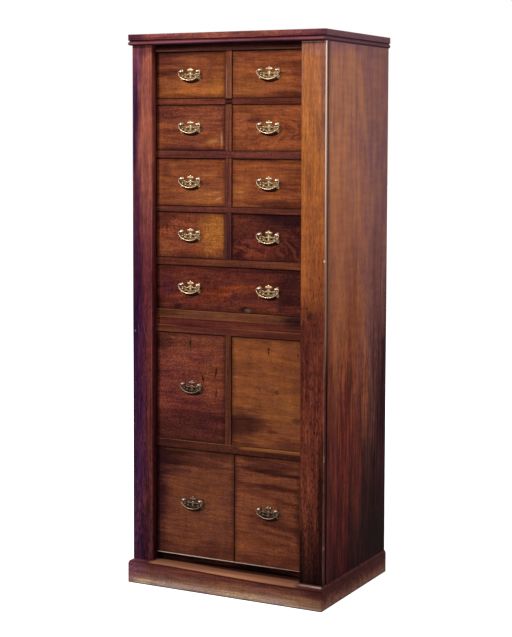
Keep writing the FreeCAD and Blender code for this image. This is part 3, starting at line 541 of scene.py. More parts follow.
dress_drawer("small_drawer_4_left", seed=7, ground="783c29", depth=0.8, speckle=0.55, seam=0.95,
    fans=[((0.12, 0.66, 0.22, 0.36), (0.05, 1.1), 0.7), ((0.7, 0.1, 0.2, 0.16), (0.75, 0.5), 0.6)],
    patches=""".85 .55 .3 .6 -15 9c602d .9; .1 .85 .25 .3 -40 4c241f .8; .4 .06 .5 .1 5a2c22 .7;
    .12 .2 .14 .2 8a5230 .6""",
    figure=("421c14", 0.55, (0.28, 0.6, 0.36, 0.5), 6, 0.14, 9, 2.4))
dress_drawer("small_drawer_4_right", seed=8, ground="53261f", depth=0.6, speckle=0.65,
    fans=[((0.15, 0.2, 0.28, 0.36), (-0.3, 1.2), 1), ((0.85, 0.35, 0.27, 0.5), (0.45, 1.4), 1)],
    patches=".72 .88 .55 .2 2c1216 .9; .35 .25 .3 .3 6c3226 .8; .93 .45 .12 .4 381616 .7",
    figure=("2a1014", 0.3, None, 7, 0.1, 6, 1.8))
dress_drawer("long_drawer", seed=9, ground="582720", speckle=0.7, wander=26,
    patches=""".47 .42 .12 .3 -40 7e3b24 .9; .93 .5 .13 .6 381918 .8; .25 .25 .2 .2 703426 .6;
    .07 .6 .1 .4 502028 .6; .02 .05 .05 .3 0c0808 .8; .62 .1 .3 .12 6c3624 .6""",
    figure=("30121a", 0.28, None, 4.5, 0.3, 9, 1.6),
    marks=""".54 .38 .03 .12 3a1c22 .7; .61 .1 .035 .07 241012 .9; .63 .07 .02 .04 7a6050 .6;
    .15 .08 .03 .07 241012 .8; .8 .12 .03 .04 7c4028 .6""")
dress_drawer("deep_drawer_left", seed=10, ground="66302a", wander=34, depth=0.75, speckle=0.75,
    patches=""".5 .93 .7 .12 743e2d .8; .08 .9 .15 .1 3e1e1c .8; .5 .12 .8 .2 46201d .9;
    .85 .62 .25 .25 7c422a .7; .3 .36 .3 .1 -10 562424 .6; .35 .72 .25 .1 723a2a .6""",
    figure=("46201e", 0.3, (0.6, 0.4, 0.5, 0.35), 3, 0.3, 7, 1.4),
    marks=""".68 .585 .014 .04 12 240e0a .9; .87 .66 .012 .045 -12 240e0a .9; .87 .46 .014 .05 -8 240e0a .85;
    .4 .62 .03 .012 20 3c1c14 .7; .497 .913 .014 .024 1c0a08 .9; .6 .13 .2 .008 2c1210 .6""")
dress_drawer("deep_drawer_right", seed=11, ground="7a4428", depth=0.45, wander=28, speckle=0.3,
    patches=""".16 .2 .42 .22 3e1e19 .95; .7 .06 .5 .1 5c2e22 .8; .75 .35 .3 .15 84502c .6;
    .92 .28 .1 .04 3c1e18 .6; .4 .9 .5 .1 84492a .6; .55 .16 .1 .03 402018 .7""",
    marks=""".37 .55 .03 .022 5c3a26 .7; .63 .515 .035 .022 4c2c20 .8; .57 .5 .012 .01 2c1410 .8;
    .92 .87 .008 .02 2c140e .9; .517 .912 .015 .018 200c08 .9; .12 .34 .14 .008 34180f .7;
    .16 .25 .16 .008 4 2c140e .7""")
dress_drawer("bottom_drawer_left", seed=12, ground="663828", wander=26, depth=0.6, speckle=0.4,
    patches=""".1 .92 .38 .16 -8 220d0f .95; .3 .8 .35 .03 -5 4a2420 .7; .8 .97 .3 .05 4a2420 .6;
    0 .5 .19 .7 30131a .95; .5 .04 .7 .1 562c22 .6; .55 .65 .35 .2 703f28 .6; .5 .88 .4 .05 -6 4a241c .6""")
dress_drawer("bottom_drawer_right", seed=13, ground="6d3b29", wander=34, depth=0.7, speckle=0.45,
    patches=""".75 .86 .55 .03 -3 341616 .9; .6 .73 .6 .028 -2 3c1818 .85; .5 .95 .7 .03 -3 3c1a18 .7;
    .7 .62 .35 .02 -5 4a201a .6; .65 .3 .4 .02 -6 441e1a .5; .6 .4 .6 .04 -8 421e18 .7; .96 .5 .07 .6 442018 .7;
    .6 .06 .7 .1 54291f .6; .45 .22 .4 .1 703e26 .6; .3 .6 .3 .06 784228 .6""")


# The case

def dress_case(node, along, seed, stops, patches="", marks="", across=0, depth=0.8, wear_and_light=None, wander=8.0,
               reach=16.0, flecks=0.0, speckle=(0.3, 0.3, 0.3), fine=0.26, grit=240.0, draw=1.5, gloss=0.025,
               faded=1.0):
    """A board of the case. Its ground colour follows the height, in stops of a height and a tone, and spots
    are laid over it, given as shares across the board and up it. Speckle is how mottled it is at the foot, in
    the middle and above, and faded is how much of its streaks is left above."""
    wood = Wood(node + "_mahogany", along, seed, wander, reach=reach, grit=grit, draw=draw)
    z, rise = wood.z, wood.rise
    limits = span(node)
    u = share((wood.x, wood.y)[across], limits[across])
    v = share(z, limits[2])
    stops = [stop.split() for stop in stops.split(";")]
    colour = wood.ramp(v + (wood.clouds - 0.5) * 0.02,
                       [(share(float(height), limits[2]), code) for height, code in stops])
    colour = wood.tinted(colour, (1.2, 1.22, 1.16, 1.0), wood.clouds * 0.5)
    colour = wood.spotted(colour, patches, u, v, 0.3)
    foot, middle, above = speckle
    mottled = rise(z, 1.02, 0.78, above, middle) + rise(z, 0.55, 0.25, 0.0, foot - middle)
    colour = wood.grained(colour, depth, mottled, fine, rise(z, 1.0, 0.7, faded, 1.0))
    colour = wood.spotted(colour, marks, u, v, 0.2)
    if flecks:
        dashes = rise(wood.grain_noise(240.0, 0.3, 2.0), 0.58, 0.68)
        colour = wood.blend(colour, "1a0808", dashes * rise(v, 0.75, 0.45, 0.25) * flecks)
    # Marks of use, painted shade and painted highlights along the board's edges
    if wear_and_light:
        colour = wood.layers(colour, wear_and_light(wood))
    set_finish(wood.polished(colour, gloss), node)


def worn_and_lit_lines(wood, width, *lines):
    """Pale lines along a board's straight arrises, for marks of use and for painted highlights: each is (axis, place,
    tone, strength, low, high), the last two being where along the other axis it runs."""
    rows = []
    for axis, place, code, strength, low, high in lines:
        other = wood.x if axis == "z" else wood.z
        near = wood.rise(abs(getattr(wood, axis) - place), width * MM, 0.3 * width * MM)
        worn_and_lit_here = near * wood.band(other, low, high, 0.02) * wood.rise(wood.streaks, 0.1, 0.6)
        rows.append((code, worn_and_lit_here * strength))
    return rows


# Heights and edges on the case that its painted shade, painted highlights and marks of use keep to
RAIL_EDGES = (1.128, 1.283, 1.303, 1.464, 1.49, 1.643, 1.664, 1.821)
MUNTIN_LEFT = -0.0169
MUNTIN_RIGHT = 0.0061
BEAD_HEIGHT = 1.8505


def rail_edges(wood):
    """Painted shade along the rails' edges, heavier on the left, and where the muntin crosses; painted shade on
    the left of the foot rail and on the top rail under the moulding; a painted highlight along the top rail's
    lower edge; and a pale edge and chips from use on the rail of the deep drawers.
    """
    x, z, clouds, rise = wood.x, wood.z, wood.clouds, wood.rise
    near = wood.smallest(*[abs(z - edge) for edge in RAIL_EDGES])
    dirt_and_shade = rise(near, 3.2 * MM, 1.0 * MM) * rise(x, 0.25, -0.1, 0.4, 0.8)
    crossing = rise(abs(x + 0.005), 0.02, 0.009) * rise(z, 1.64, 1.646)
    crossing = crossing * rise(z, 1.675, 1.67) * rise(near, 0.01, 0.004, 0.6, 0.95)
    under_top = wood.band(z, 1.8222, 1.8262, 0.0006) * rise(clouds, 0.1, 0.5, 0.3, 1.0)
    chips = wood.band(z, 0.493, 0.503, 0.003) * rise(x, 0.02, 0.06) * rise(clouds, 0.4, 0.7)
    return [("160706", wood.largest(dirt_and_shade * (0.95 - wood.blotches * 0.3), crossing)),
            ("0a0405", rise(z, 0.104, 0.1) * rise(x, 0.05, -0.25, 0.0, 0.85)),
            ("060303", rise(z, 1.83, 1.8345) * 0.7),
            ("a87868", under_top * 0.6),
            *worn_and_lit_lines(wood, 2.0, ("z", 0.5025, "94603c", 0.55, -0.29, 0.03),
                        ("z", 0.5015, "b07c48", 0.75, 0.03, 0.28)),
            ("90552c", chips * 0.7)]


def waist_edges(wood):
    # Painted highlights along the upper arrises of the waist's three strips
    return worn_and_lit_lines(wood, 2.0, ("z", 0.8965, "8c5634", 0.7, -0.29, 0.28), ("z", 0.9195, "6a4026", 0.5, -0.29, 0.28),
                      ("z", 0.9495, "8c5a34", 0.6, -0.29, 0.15))


def muntin_edges(wood):
    """Painted shade along the edges, darker on the right, and a painted highlight along the arris inside each."""
    left, right = wood.x - MUNTIN_LEFT, MUNTIN_RIGHT - wood.x
    pale = wood.largest(wood.band(left, 0.001, 0.004, 0.0006), wood.band(right, 0.0018, 0.0045, 0.0006))
    pale = pale * wood.rise(wood.streaks, 0.2, 0.7) * wood.rise(wood.z, 1.645, 1.665, 0.08, 0.6)
    return [("1c0a0a", wood.rise(left, 0.0024, 0.0008) * 0.4), ("1c0a0a", wood.rise(right, 0.0018, 0.0006) * 0.85),
            ("9c7468", pale)]


def pilaster_return(wood):
    """Painted shade on the side of the pilaster towards the drawers: it darkens inwards, to black in the corner."""
    inner = wood.rise(wood.x, -0.2869, -0.2862)
    shade = wood.blend((0.8, 0.68, 0.72, 1.0), (0.4, 0.26, 0.32, 1.0), wood.rise(wood.y, -0.242, -0.222))
    return [(shade, inner, "MULTIPLY"), ("140506", wood.rise(wood.y, -0.2175, -0.2155) * inner * 0.9),
            *worn_and_lit_lines(wood, 1.2, ("x", -0.288, "8c5a50", 0.35, 0.1, 1.8))]


def plinth_wear_and_light(wood):
    """Golden on the ledge before the drawers, painted light where the lamp falls on it, with painted shade in its
    corner under the drawers, a pale line along the top arris at the ends and round the right-hand corner that is
    painted highlight with some marks of use, and a painted contact shadow at the foot. Its right side is darker and
    redder."""
    x, y, z, rise = wood.x, wood.y, wood.z, wood.rise
    right = rise(x, 0.3665, 0.368)
    golden = rise(z + rise(x, -0.27, 0.25, 0.002, 0.01), 0.0775, 0.0785)
    below = rise(z + rise(x, -0.27, 0.25, 0.006, 0.016), 0.0765, 0.0785) - golden
    golden = golden * rise(abs(x + 0.006), 0.293, 0.268) * rise(wood.streaks, 0.0, 0.8, 0.75, 1.0)
    ledge = wood.blend("845640", "a87254", rise(y, -0.228, -0.266))
    ledge = wood.blend(ledge, "7e503c", rise(x, -0.02, 0.26, 0.0, 0.75))
    corner_shade_width = rise(x, -0.2, 0.06, 0.008, 0.022) + (wood.clouds - 0.5) * 0.006
    in_corner = rise(z, 0.0772, 0.0778) * rise(y + 0.2 + corner_shade_width, -0.005, 0.003)
    rubbed_and_highlit = rise(z, 0.0745, 0.077) * rise(wood.streaks, 0.2, 0.6)
    at_ends = wood.largest(rise(x, 0.27, 0.3), rise(x, -0.28, -0.3) * 0.5)
    return [((0.74, 0.58, 0.6, 1.0), right, "MULTIPLY"), ("3a130c", below * 0.7), (ledge, golden),
            ("32160f", in_corner * 0.92), ("d0b4a8", rubbed_and_highlit * at_ends * rise(y, -0.25, -0.26) * 0.8),
            ("a88888", rubbed_and_highlit * right * 0.7), ("1a0e0e", rise(z, 0.0042, 0.0024) * 0.9)]


def stile_edges(wood):
    """The outer arris of the stile carries a painted white highlight above, and only here and there below, with
    short painted highlight dashes lower down. Its side face is dark below, painted shade in the gap, and greyish
    above.
    """
    x, y, z, rise = wood.x, wood.y, wood.z, wood.rise
    along = wood.noise(wood.vector("MULTIPLY", wood.here, (0.0, 0.0, 1.0)), 17.0, 3.0)
    outer = rise(x, 0.36, 0.361) * rise(y, -0.237, -0.2385)
    rubbed_and_highlit = wood.largest(rise(z, 0.95, 1.7, 0.0, 0.8), rise(along, 0.58, 0.66) * 0.2)
    worn_and_highlit = rise(abs(x - 0.3606), 1.8 * MM, 0.8 * MM) * rise(z, 0.95, 0.85) * rise(y, -0.2405, -0.2415)
    inner = rise(abs(x - 0.2764), 1.3 * MM, 0.5 * MM) * rise(z, 1.55, 1.75)
    return [(wood.blend("381a16", "866052", rise(z, 0.74, 0.92)), rise(x, 0.3616, 0.3622) * 0.9),
            ("f4e2d8", outer * rubbed_and_highlit), ("8c6056", worn_and_highlit * rise(along, 0.35, 0.6, 0.1, 0.5)),
            ("c89c98", inner * 0.6), ("d0a8a4", rise(z, 1.8385, 1.8405) * 0.6)]


def side_edges(wood):
    """Painted shade next to the stile: greyish along the front edge above, and dark in the gap lower down."""
    y, z, rise = wood.y, wood.z, wood.rise
    strip = rise(y, -0.204, -0.212) * rise(wood.clouds, 0.0, 0.6, 0.5, 1.0)
    return [("50443e", strip * rise(z, 0.7, 1.1, 0.0, 0.6)),
            ("1a0c0e", rise(y, -0.2165, -0.219) * rise(z, 0.88, 0.76, 0.0, 0.8))]


def board_edges(wood):
    """The top board: black in the corner under it, painted shade, greyish on the right-hand end, and a painted
    highlight along its upper edge.
    """
    x, z, rise = wood.x, wood.z, wood.rise
    return [("3c1c2c", rise(wood.grain_noise(60.0, 0.2, 3.0), 0.42, 0.62) * 0.35),
            ("5a4048", rise(x, 0.3655, 0.3675) * 0.8),
            ("3c2434", rise(x, 0.28, 0.36) * rise(wood.y, -0.245, -0.255) * 0.6),
            ("0e0508", rise(z, 1.8612, 1.86) * 0.85), ("a88488", rise(z, 1.878, 1.8795) * 0.3)]


def moulding_edges(wood):
    """The moulding: its bead carries a painted highlight, and its right-hand return is greyish."""
    bead = wood.rise(abs(wood.z - BEAD_HEIGHT), 0.004, 0.0008) * wood.rise(wood.streaks, 0.1, 0.6, 0.4, 1.0)
    return [("8c5c66", bead * 0.6), ("3c2a32", wood.rise(wood.x, 0.36, 0.3625) * 0.65)]


# Near black at the foot of the rails: painted shade where the foot rail meets the ledge
dress_case("drawer_rails", "x", 21, wear_and_light=rail_edges, speckle=(0.5, 0.5, 0.4),
    stops=""".078 0c0505; .0805 160a09; .0825 48241f; .104 4e2820; .47 36181a; .49 42201a; 1.1 54291f;
    1.115 603326; 1.29 5c2f29; 1.47 582b27; 1.484 643630; 1.645 58291f; 1.658 653127; 1.82 683634; 1.843 4a2424""",
    marks=".3 .7935 .006 .0012 1c0c0a .8; .78 .7935 .006 .0012 1c0c0a .8")
dress_case("waist_rail", "x", 22, wear_and_light=waist_edges,
    stops=".873 542922; .893 582b22; .898 5a2924; .918 652f27; .922 603626; .95 643a28",
    patches=".97 .8 .14 .35 2c1612 .9; .08 .85 .12 .2 44241a .6")
dress_case("muntins", "z", 23, wear_and_light=muntin_edges, speckle=(0.5, 0.5, 0.4),
    stops=""".503 50281f; .871 58301f; 1.1 3a181c; 1.281 44201f; 1.31 5e302b; 1.462 68382c; 1.66 703c28;
    1.821 784029""")
dress_case("left_pilaster", "z", 24, depth=1, flecks=0.7, speckle=(0.9, 0.5, 0.3), wear_and_light=pilaster_return, draw=5,
    faded=0.75,
    stops=".078 3c1a26; .45 4a2228; .98 5e2830; 1.15 6c3438; 1.4 8c4e43; 1.843 98564a",
    patches=""".1 .3 .55 .4 301338 .9; 0 .12 .5 .3 42203e .8; .1 .51 .42 .12 2a0f30 .92; 0 .85 .5 .3 5a2a3c .85;
    .16 .9 .16 .1 30143a .85; .3 .97 .3 .05 5c3048 .6; .35 .74 .1 .05 4a1c34 .6; .08 .8 .12 .05 30143a .8;
    .15 .66 .2 .09 3a1636 .7; .95 .3 .2 .4 5c2c2c .6; .6 .99 .6 .014 4c2438 .7""",
    marks=".3 .4545 .05 .0012 -20 a890a0 .7; .62 .4505 .1 .001 -14 a08898 .6; .13 .45 .05 .002 a088a0 .5")
dress_case("front_posts", "z", 25, stops=".078 2c1410; 1.843 4a2418")
dress_case("locking_stile", "z", 26, wear_and_light=stile_edges, depth=1, reach=14, flecks=0.8, speckle=(1, 0.6, 0.28),
    grit=220, draw=4, faded=0.5,
    stops=""".079 1c0c0e; .2 3f1c19; .36 613024; .6 602d23; .93 622f24; 1 7c4226; 1.08 8a4c2a; 1.45 9b5b31;
    1.842 ac6b42""",
    patches=""".9 .93 .25 .2 8a5a4c .5; .4 .99 .7 .018 8c5c58 .7; .9 .12 .28 .16 100608 .75;
    .1 .06 .2 .08 100608 .6; .75 .47 .3 .03 4e241c .6; .36 .499 .13 .009 260f12 .7""",
    marks=""".62 .298 .03 .004 200c0a .8; .58 .284 .03 .003 200c0a .7; .72 .247 .04 .003 240e0c .7;
    .97 .601 .04 .0025 dcc8b4 .85""")
# The right side darkens towards the foot and to black at the back of the foot, partly painted shade; the greyish
# patch high at the back is a painted sheen
dress_case("right_side", "z", 27, across=1, wander=22, depth=1.1, flecks=0.6, speckle=(0.6, 0.5, 0), fine=0.08,
    wear_and_light=side_edges, grit=130, draw=8, gloss=0.012, faded=0.16,
    stops=".078 300e12; .3 54201d; .5 602722; .66 682e24; .95 7e4730; 1.4 9a634c; 1.79 996550; 1.843 7a5258",
    patches="""1 .72 .6 .8 765050 .9; 1 .08 .75 .3 0e0508 .92; 1 .32 .24 .25 2a0c16 .9; .42 .45 .1 .16 80452a .7;
    .03 .3 .1 .4 4a2220 .6; .34 .34 .05 .07 38181a .7; .62 .33 .08 .1 7a4028 .6; .5 .2 .1 .12 5e281e .6;
    .8 .5 .12 .2 5c3432 .6; .15 .62 .16 .3 9a6044 .5""")
dress_case("left_side", "z", 28, across=1, wander=22, depth=0.4, flecks=0.5, speckle=(0.6, 0.4, 0.15),
    stops=".078 2a1416; .5 40201e; 1 583024; 1.843 6c3c2c",
    patches=".05 .5 .2 .8 3b1a34 .4; .6 .7 .3 .3 6c442e .4")
dress_case("top_board", "x", 29, speckle=(0.6, 0.6, 0.6), wear_and_light=board_edges,
    stops="1.859 703438; 1.87 804446; 1.88 8a4e50",
    patches=".55 .5 .35 9 8a4e42 .7; .02 .5 .07 9 3c1c38 .75")
# The moulding's stops paint light and shade across its profile: dark below and in the hollow under the board, light
# on the bead
dress_case("top_moulding", "x", 30, wear_and_light=moulding_edges,
    stops="1.843 1e0c12; 1.8465 46202a; 1.852 7a3a46; 1.857 602c36; 1.859 1c0a0c")
# The plinth pales towards the foot: painted light thrown up from the white floor
dress_case("plinth", "x", 31, wear_and_light=plinth_wear_and_light, speckle=(0.45, 0.45, 0.45),
    stops="0 b29a8e; .012 a68c7e; .026 805a4c; .05 724438; .066 62342e; .0735 52261f; .078 4a201c",
    patches="""0 .6 .09 .9 704458 .75; .5 .15 .35 .3 966c54 .2; 1 .3 .2 .6 6c4638 .6; 1 .75 .1 .4 3c1c20 .8;
    .75 .9 .2 .25 54302c .6""")


def dress_inside(node, along, seed, ground, dark, board_width=None):
    """Pale secondary wood, browned by age. Boards side by side differ in tone."""
    wood = Wood(node + "_pine", along, seed, 20.0, 2.0, 12.0)
    knots = wood.rise(wood.grain_noise(6.0, 0.12, 1.0), 0.72, 0.78)
    colour = wood.layers(ground, [
        (dark, wood.figure(7.0, 1.0, 16.0, 0.4) * 0.5), ("6b442c", (1.0 - wood.streaks) * 0.35),
        ("40210f", knots * 0.35), ("4a3020", wood.rise(wood.clouds, 0.7, 0.2) * 0.25)])
    if board_width:
        board = wood.x / board_width
        odd = wood.maths("FRACT", wood.maths("FLOOR", board) * 0.618 + 0.3)
        colour = wood.tinted(colour, (0.78, 0.76, 0.75, 1.0), odd)
        seam = wood.rise(abs(wood.maths("FRACT", board + 0.5) - 0.5) * board_width, 0.004, 0.0015)
        colour = wood.blend(colour, "24140c", seam * 0.7)
    set_finish(wood.dry(colour), node)


BACK_LEFT, BACK_RIGHT = span("back_boards")[0]
dress_inside("back_boards", "z", 41, "a0764c", "7a5234", (BACK_RIGHT - BACK_LEFT) / 4.0)
dress_inside("carcass_boards", "x", 42, "a27a50", "7c5436")
dress_inside("drawer_guides", "y", 43, "a88058", "805c3c")


# Metal

def brass(name, bright, worn_and_highlit, dull, patina_and_shade, tarnish, shine):
    """Cast brass: a painted highlight on the ends of the posts, paler on its relief and on the bail, partly from
    use and partly painted highlight, dull on the plate, dark with patina in its corners, and painted shade on its
    undersides."""
    metal = Finish(name)
    out, rise = FACE_Y - metal.y, metal.rise
    upward = metal.parts(metal.node("TexCoord", out="Normal"))[2]
    mottle = rise(metal.noise(metal.here, 260.0, 4.0, 0.6), 0.35, 0.65)
    specks = rise(metal.noise(metal.here, 700.0, 3.0, 0.6), 0.46, 0.62)
    rubbed_and_highlit = metal.smallest(1.0, rise(out, 0.0015, 0.0028) * 0.85 + mottle * (1.0 - tarnish) * 0.5)
    stain = rise(metal.noise(metal.here, 105.0, 2.0), 0.44, 0.6) * (tarnish * 0.75)
    specks_and_underside_shade = metal.smallest(1.0, rise(upward, 0.25, -0.6) * 0.8 + specks * (0.2 + tarnish * 0.35))
    # Painted highlight on the post ends, painted shade on undersides, patina near the face
    colour = metal.layers(dull, [(worn_and_highlit, rubbed_and_highlit * (1.0 - stain)), (bright, rise(out, 0.0122, 0.015)),
                                 (patina_and_shade, metal.largest(specks_and_underside_shade, rise(out, 0.0014, 0.0002) * 0.9))])
    rough = specks * 0.15 + (1.0 - rubbed_and_highlit) * 0.15 + shine
    return metal.surface(colour, rough, mottle * 0.5 + specks * 0.5, 0.25, 0.0002, Metallic=1.0)


BRASSES = {"bright_brass": brass("bright_brass", "fae6d2", "e4c29c", "80643c", "1c1004", 0.4, 0.34),
           "aged_brass": brass("aged_brass", "ccaca4", "a08672", "3c2e1c", "100a06", 0.6, 0.4)}


def lock_metal(name, ground, dark, scale, shine):
    """Stained and scratched metal, for the locks and the pivots."""
    metal = Finish(name)
    stain = metal.rise(metal.noise(metal.here, scale, 4.0, 0.6), 0.35, 0.65)
    scratch = metal.rise(metal.noise(metal.vector("MULTIPLY", metal.here, (1.0, 1.0, 0.1)), 700.0, 2.0), 0.45, 0.7)
    colour = metal.layers(ground, [(dark, (1.0 - stain) * 0.6), (dark, scratch * 0.3)])
    return metal.surface(colour, scratch * 0.1 + (1.0 - stain) * 0.2 + shine, stain * 0.5 + scratch * 0.5,
                         0.2, 0.0002, Metallic=1.0)


set_finish(lock_metal("lock_brass", "6e5534", "33230f", 160.0, 0.38),
           "lock_deep_left", "lock_deep_right", "stile_lock", "stile_pivots", "stile_fittings")
set_finish(lock_metal("bolt_steel", "8b8a88", "4a4440", 220.0, 0.34),
           "lock_bolt_deep_left", "lock_bolt_deep_right", "stile_lock_bolt")


# Drop handles. A handle is drawn in millimetres about the middle of the line between its posts: x across,
# z up, and out from the face of the drawer.

HANDLE_POST = 31.75
BAIL_HEIGHT = 11.0
PLATE_THICKNESS = 1.6
PLATE_EDGE = 0.35
PLATE_START = (0.0, 13.0)
# The plate's right half, as arcs of (middle, end)
PLATE_ARCS = [
    ((3.8, 11.6), (5.4, 8.6)), ((10.4, 9.0), (13.6, 4.8)), ((11.6, 0.4), (7.4, -0.6)), ((7.0, -4.4), (10.4, -7.6)),
    ((16.6, -8.2), (23.2, -4.6)), ((25.4, -0.6), (26.0, 3.4)), ((32.0, 8.0), (39.2, 2.6)),
    ((36.2, -5.5), (35.2, -14.0)), ((38.6, -21.5), (37.4, -29.4)), ((33.2, -28.8), (28.2, -24.4)),
    ((18.0, -22.6), (10.0, -25.4)), ((5.6, -27.6), (0.0, -28.4)),
]
# The openings pierced through the right half of the plate
PLATE_WINDOWS = [
    [(5.2, -15.4), (5.8, -13.4), (8.6, -12.8), (12.6, -13.2), (15.8, -14.6), (15.4, -16.4), (11.8, -17.6),
     (7.8, -18.6), (5.6, -17.6)],
    [(26.8, -13.4), (28.4, -17.0), (28.6, -20.4), (26.8, -21.2), (24.6, -18.8), (24.0, -15.6)],
]
# Bosses as (x, z, radius, height). The first ones make up the crest, the rest run along the ribs of the body.
PLATE_BOSSES = [
    (0.0, 9.2, 3.4, 1.9), (8.2, 4.6, 3.8, 1.9), (0.0, 4.4, 4.6, 1.6), (4.2, 5.0, 3.4, 1.5),
    (0.0, -7.4, 4.2, 1.6), (0.0, -12.0, 2.8, 1.5), (0.0, -16.0, 2.4, 1.4), (0.0, -20.0, 2.6, 1.4),
    (4.8, -9.4, 2.0, 1.3), (8.4, -9.6, 1.9, 1.3), (12.0, -9.9, 1.9, 1.3), (15.6, -9.9, 1.9, 1.3),
    (19.2, -9.0, 2.0, 1.3), (22.6, -7.4, 2.2, 1.3), (30.4, -8.2, 2.8, 1.4), (31.2, -14.8, 2.8, 1.4),
    (35.6, -25.0, 1.9, 1.5), (20.0, -19.4, 2.6, 1.3),
]
DOME_PROFILE = ((0.0, 0.0), (0.0, 1.0), (0.45, 0.96), (0.72, 0.8), (0.92, 0.5), (1.0, 0.0))
DOME_SUNK = 0.3
POST_PROFILE = ((1.4, 0.0), (1.4, 4.6), (2.4, 4.6), (2.9, 4.35), (3.2, 3.8), (3.35, 3.2), (4.2, 2.75), (5.2, 2.6),
                (6.2, 2.7), (6.9, 3.0), (8.2, 3.0), (8.2, 0.0))
SPHERE = 5.2
BORE = 1.66
BORE_DEPTH = 4.3
NUT_HALF = 4.5 * sqrt(2.0)
BAIL_HALF_WIDTH = 41.2
BAIL_SHOULDER = 3.0
BAIL_DROP = 29.0
BAIL_TURN = 50.0
NECK_START = 37.55
PIN_END = 27.75


def arc_run(start, middle, end, steps):
    """Points along the circle through three points, the first left out."""
    (ax, ay), (bx, by), (cx, cy) = start, middle, end
    d = 2.0 * (ax * (by - cy) + bx * (cy - ay) + cx * (ay - by))
    a2, b2, c2 = ax * ax + ay * ay, bx * bx + by * by, cx * cx + cy * cy
    ox = (a2 * (by - cy) + b2 * (cy - ay) + c2 * (ay - by)) / d
    oy = (a2 * (cx - bx) + b2 * (ax - cx) + c2 * (bx - ax)) / d
    radius = hypot(ax - ox, ay - oy)
    first, mid, last = (atan2(y - oy, x - ox) for x, y in (start, middle, end))
    turn = (last - first) % tau
    if (mid - first) % tau > turn:
        turn -= tau
    angles = [first + turn * step / steps for step in range(1, steps + 1)]
    return [(ox + radius * cos(angle), oy + radius * sin(angle)) for angle in angles]


def rounded(corners, passes=2):
    """A closed line with its corners cut again and again, until it runs smoothly."""
    for _ in range(passes):
        cut = []
        for (ax, ay), (bx, by) in zip(corners, corners[1:] + corners[:1]):
            cut += [(ax * 0.75 + bx * 0.25, ay * 0.75 + by * 0.25), (ax * 0.25 + bx * 0.75, ay * 0.25 + by * 0.75)]
        corners = cut
    return corners


def mirrored(line):
    return [(-x, *rest) for x, *rest in reversed(line)]


def plate_loops():
    """The plate's outline and its openings."""
    right = [PLATE_START]
    for middle, end in PLATE_ARCS:
        right += arc_run(right[-1], middle, end, 8)
    loops = [right + mirrored(right[1:-1])]
    for window in PLATE_WINDOWS:
        loops += [rounded(window), rounded(mirrored(window))]
    return loops


def plate_mesh():
    """The pierced wing plate with rounded edges, filled between the loops of a curve."""
    curve = bpy.data.curves.new("wing_plate", "CURVE")
    curve.dimensions = "2D"
    curve.fill_mode = "BOTH"
    curve.bevel_depth = PLATE_EDGE
    curve.bevel_resolution = 2
    curve.offset = -PLATE_EDGE
    curve.extrude = PLATE_THICKNESS / 2.0 - PLATE_EDGE
    for loop in plate_loops():
        spline = curve.splines.new("POLY")
        spline.points.add(len(loop) - 1)
        for point, (x, z) in zip(spline.points, loop):
            point.co = (x, z, 0.0, 1.0)
        spline.use_cyclic_u = True
    holder = bpy.data.objects.new("wing_plate", curve)
    mesh = bpy.data.meshes.new_from_object(holder)
    bpy.data.objects.remove(holder)
    bpy.data.curves.remove(curve)
    # Up in the curve's plane is up on the drawer, and its front comes out of the face.
    mesh.transform(Matrix.Translation((0.0, -PLATE_THICKNESS / 2.0, 0.0)) @ Matrix.Rotation(pi / 2.0, 4, "X"))
    return mesh


def ring(bm, middle, side, other, radius, segments, phase=0.0):
    """Points round a middle, turned from one side towards another."""
    angles = [phase + tau * index / segments for index in range(segments)]
    return [bm.verts.new(middle + (side * cos(angle) + other * sin(angle)) * radius) for angle in angles]


def bridge(bm, rings, segments, closed=False):
    """Joins each ring of points to the next with faces. A ring may be a single point."""
    for first, second in zip(rings, rings[1:] + (rings[:1] if closed else [])):
        for index in range(segments):
            after = (index + 1) % segments
            corners = [first[index % len(first)], first[after % len(first)],
                       second[after % len(second)], second[index % len(second)]]
            corners = list(dict.fromkeys(corners))
            if len(corners) > 2:
                bm.faces.new(corners)


def lathe(bm, profile, centre, axis, segments, phase=0.0, closed=False):
    """Turns a profile of (distance along the axis, radius) about an axis through the centre."""
    axis = Vector(axis).normalized()
    side = axis.orthogonal().normalized()
    other = axis.cross(side)
    rings = []
    for along, radius in profile:
        middle = Vector(centre) + axis * along
        rings.append([bm.verts.new(middle)] if radius < 1e-6
                     else ring(bm, middle, side, other, radius, segments, phase))
    bridge(bm, rings, segments, closed)


def dome(bm, x, z, radius, height):
    """A low boss on the face of the plate."""
    out = PLATE_THICKNESS - DOME_SUNK
    profile = [(out + (height + DOME_SUNK) * up, radius * wide) for up, wide in DOME_PROFILE]
    lathe(bm, profile, (x, 0.0, z), (0, -1, 0), 20)


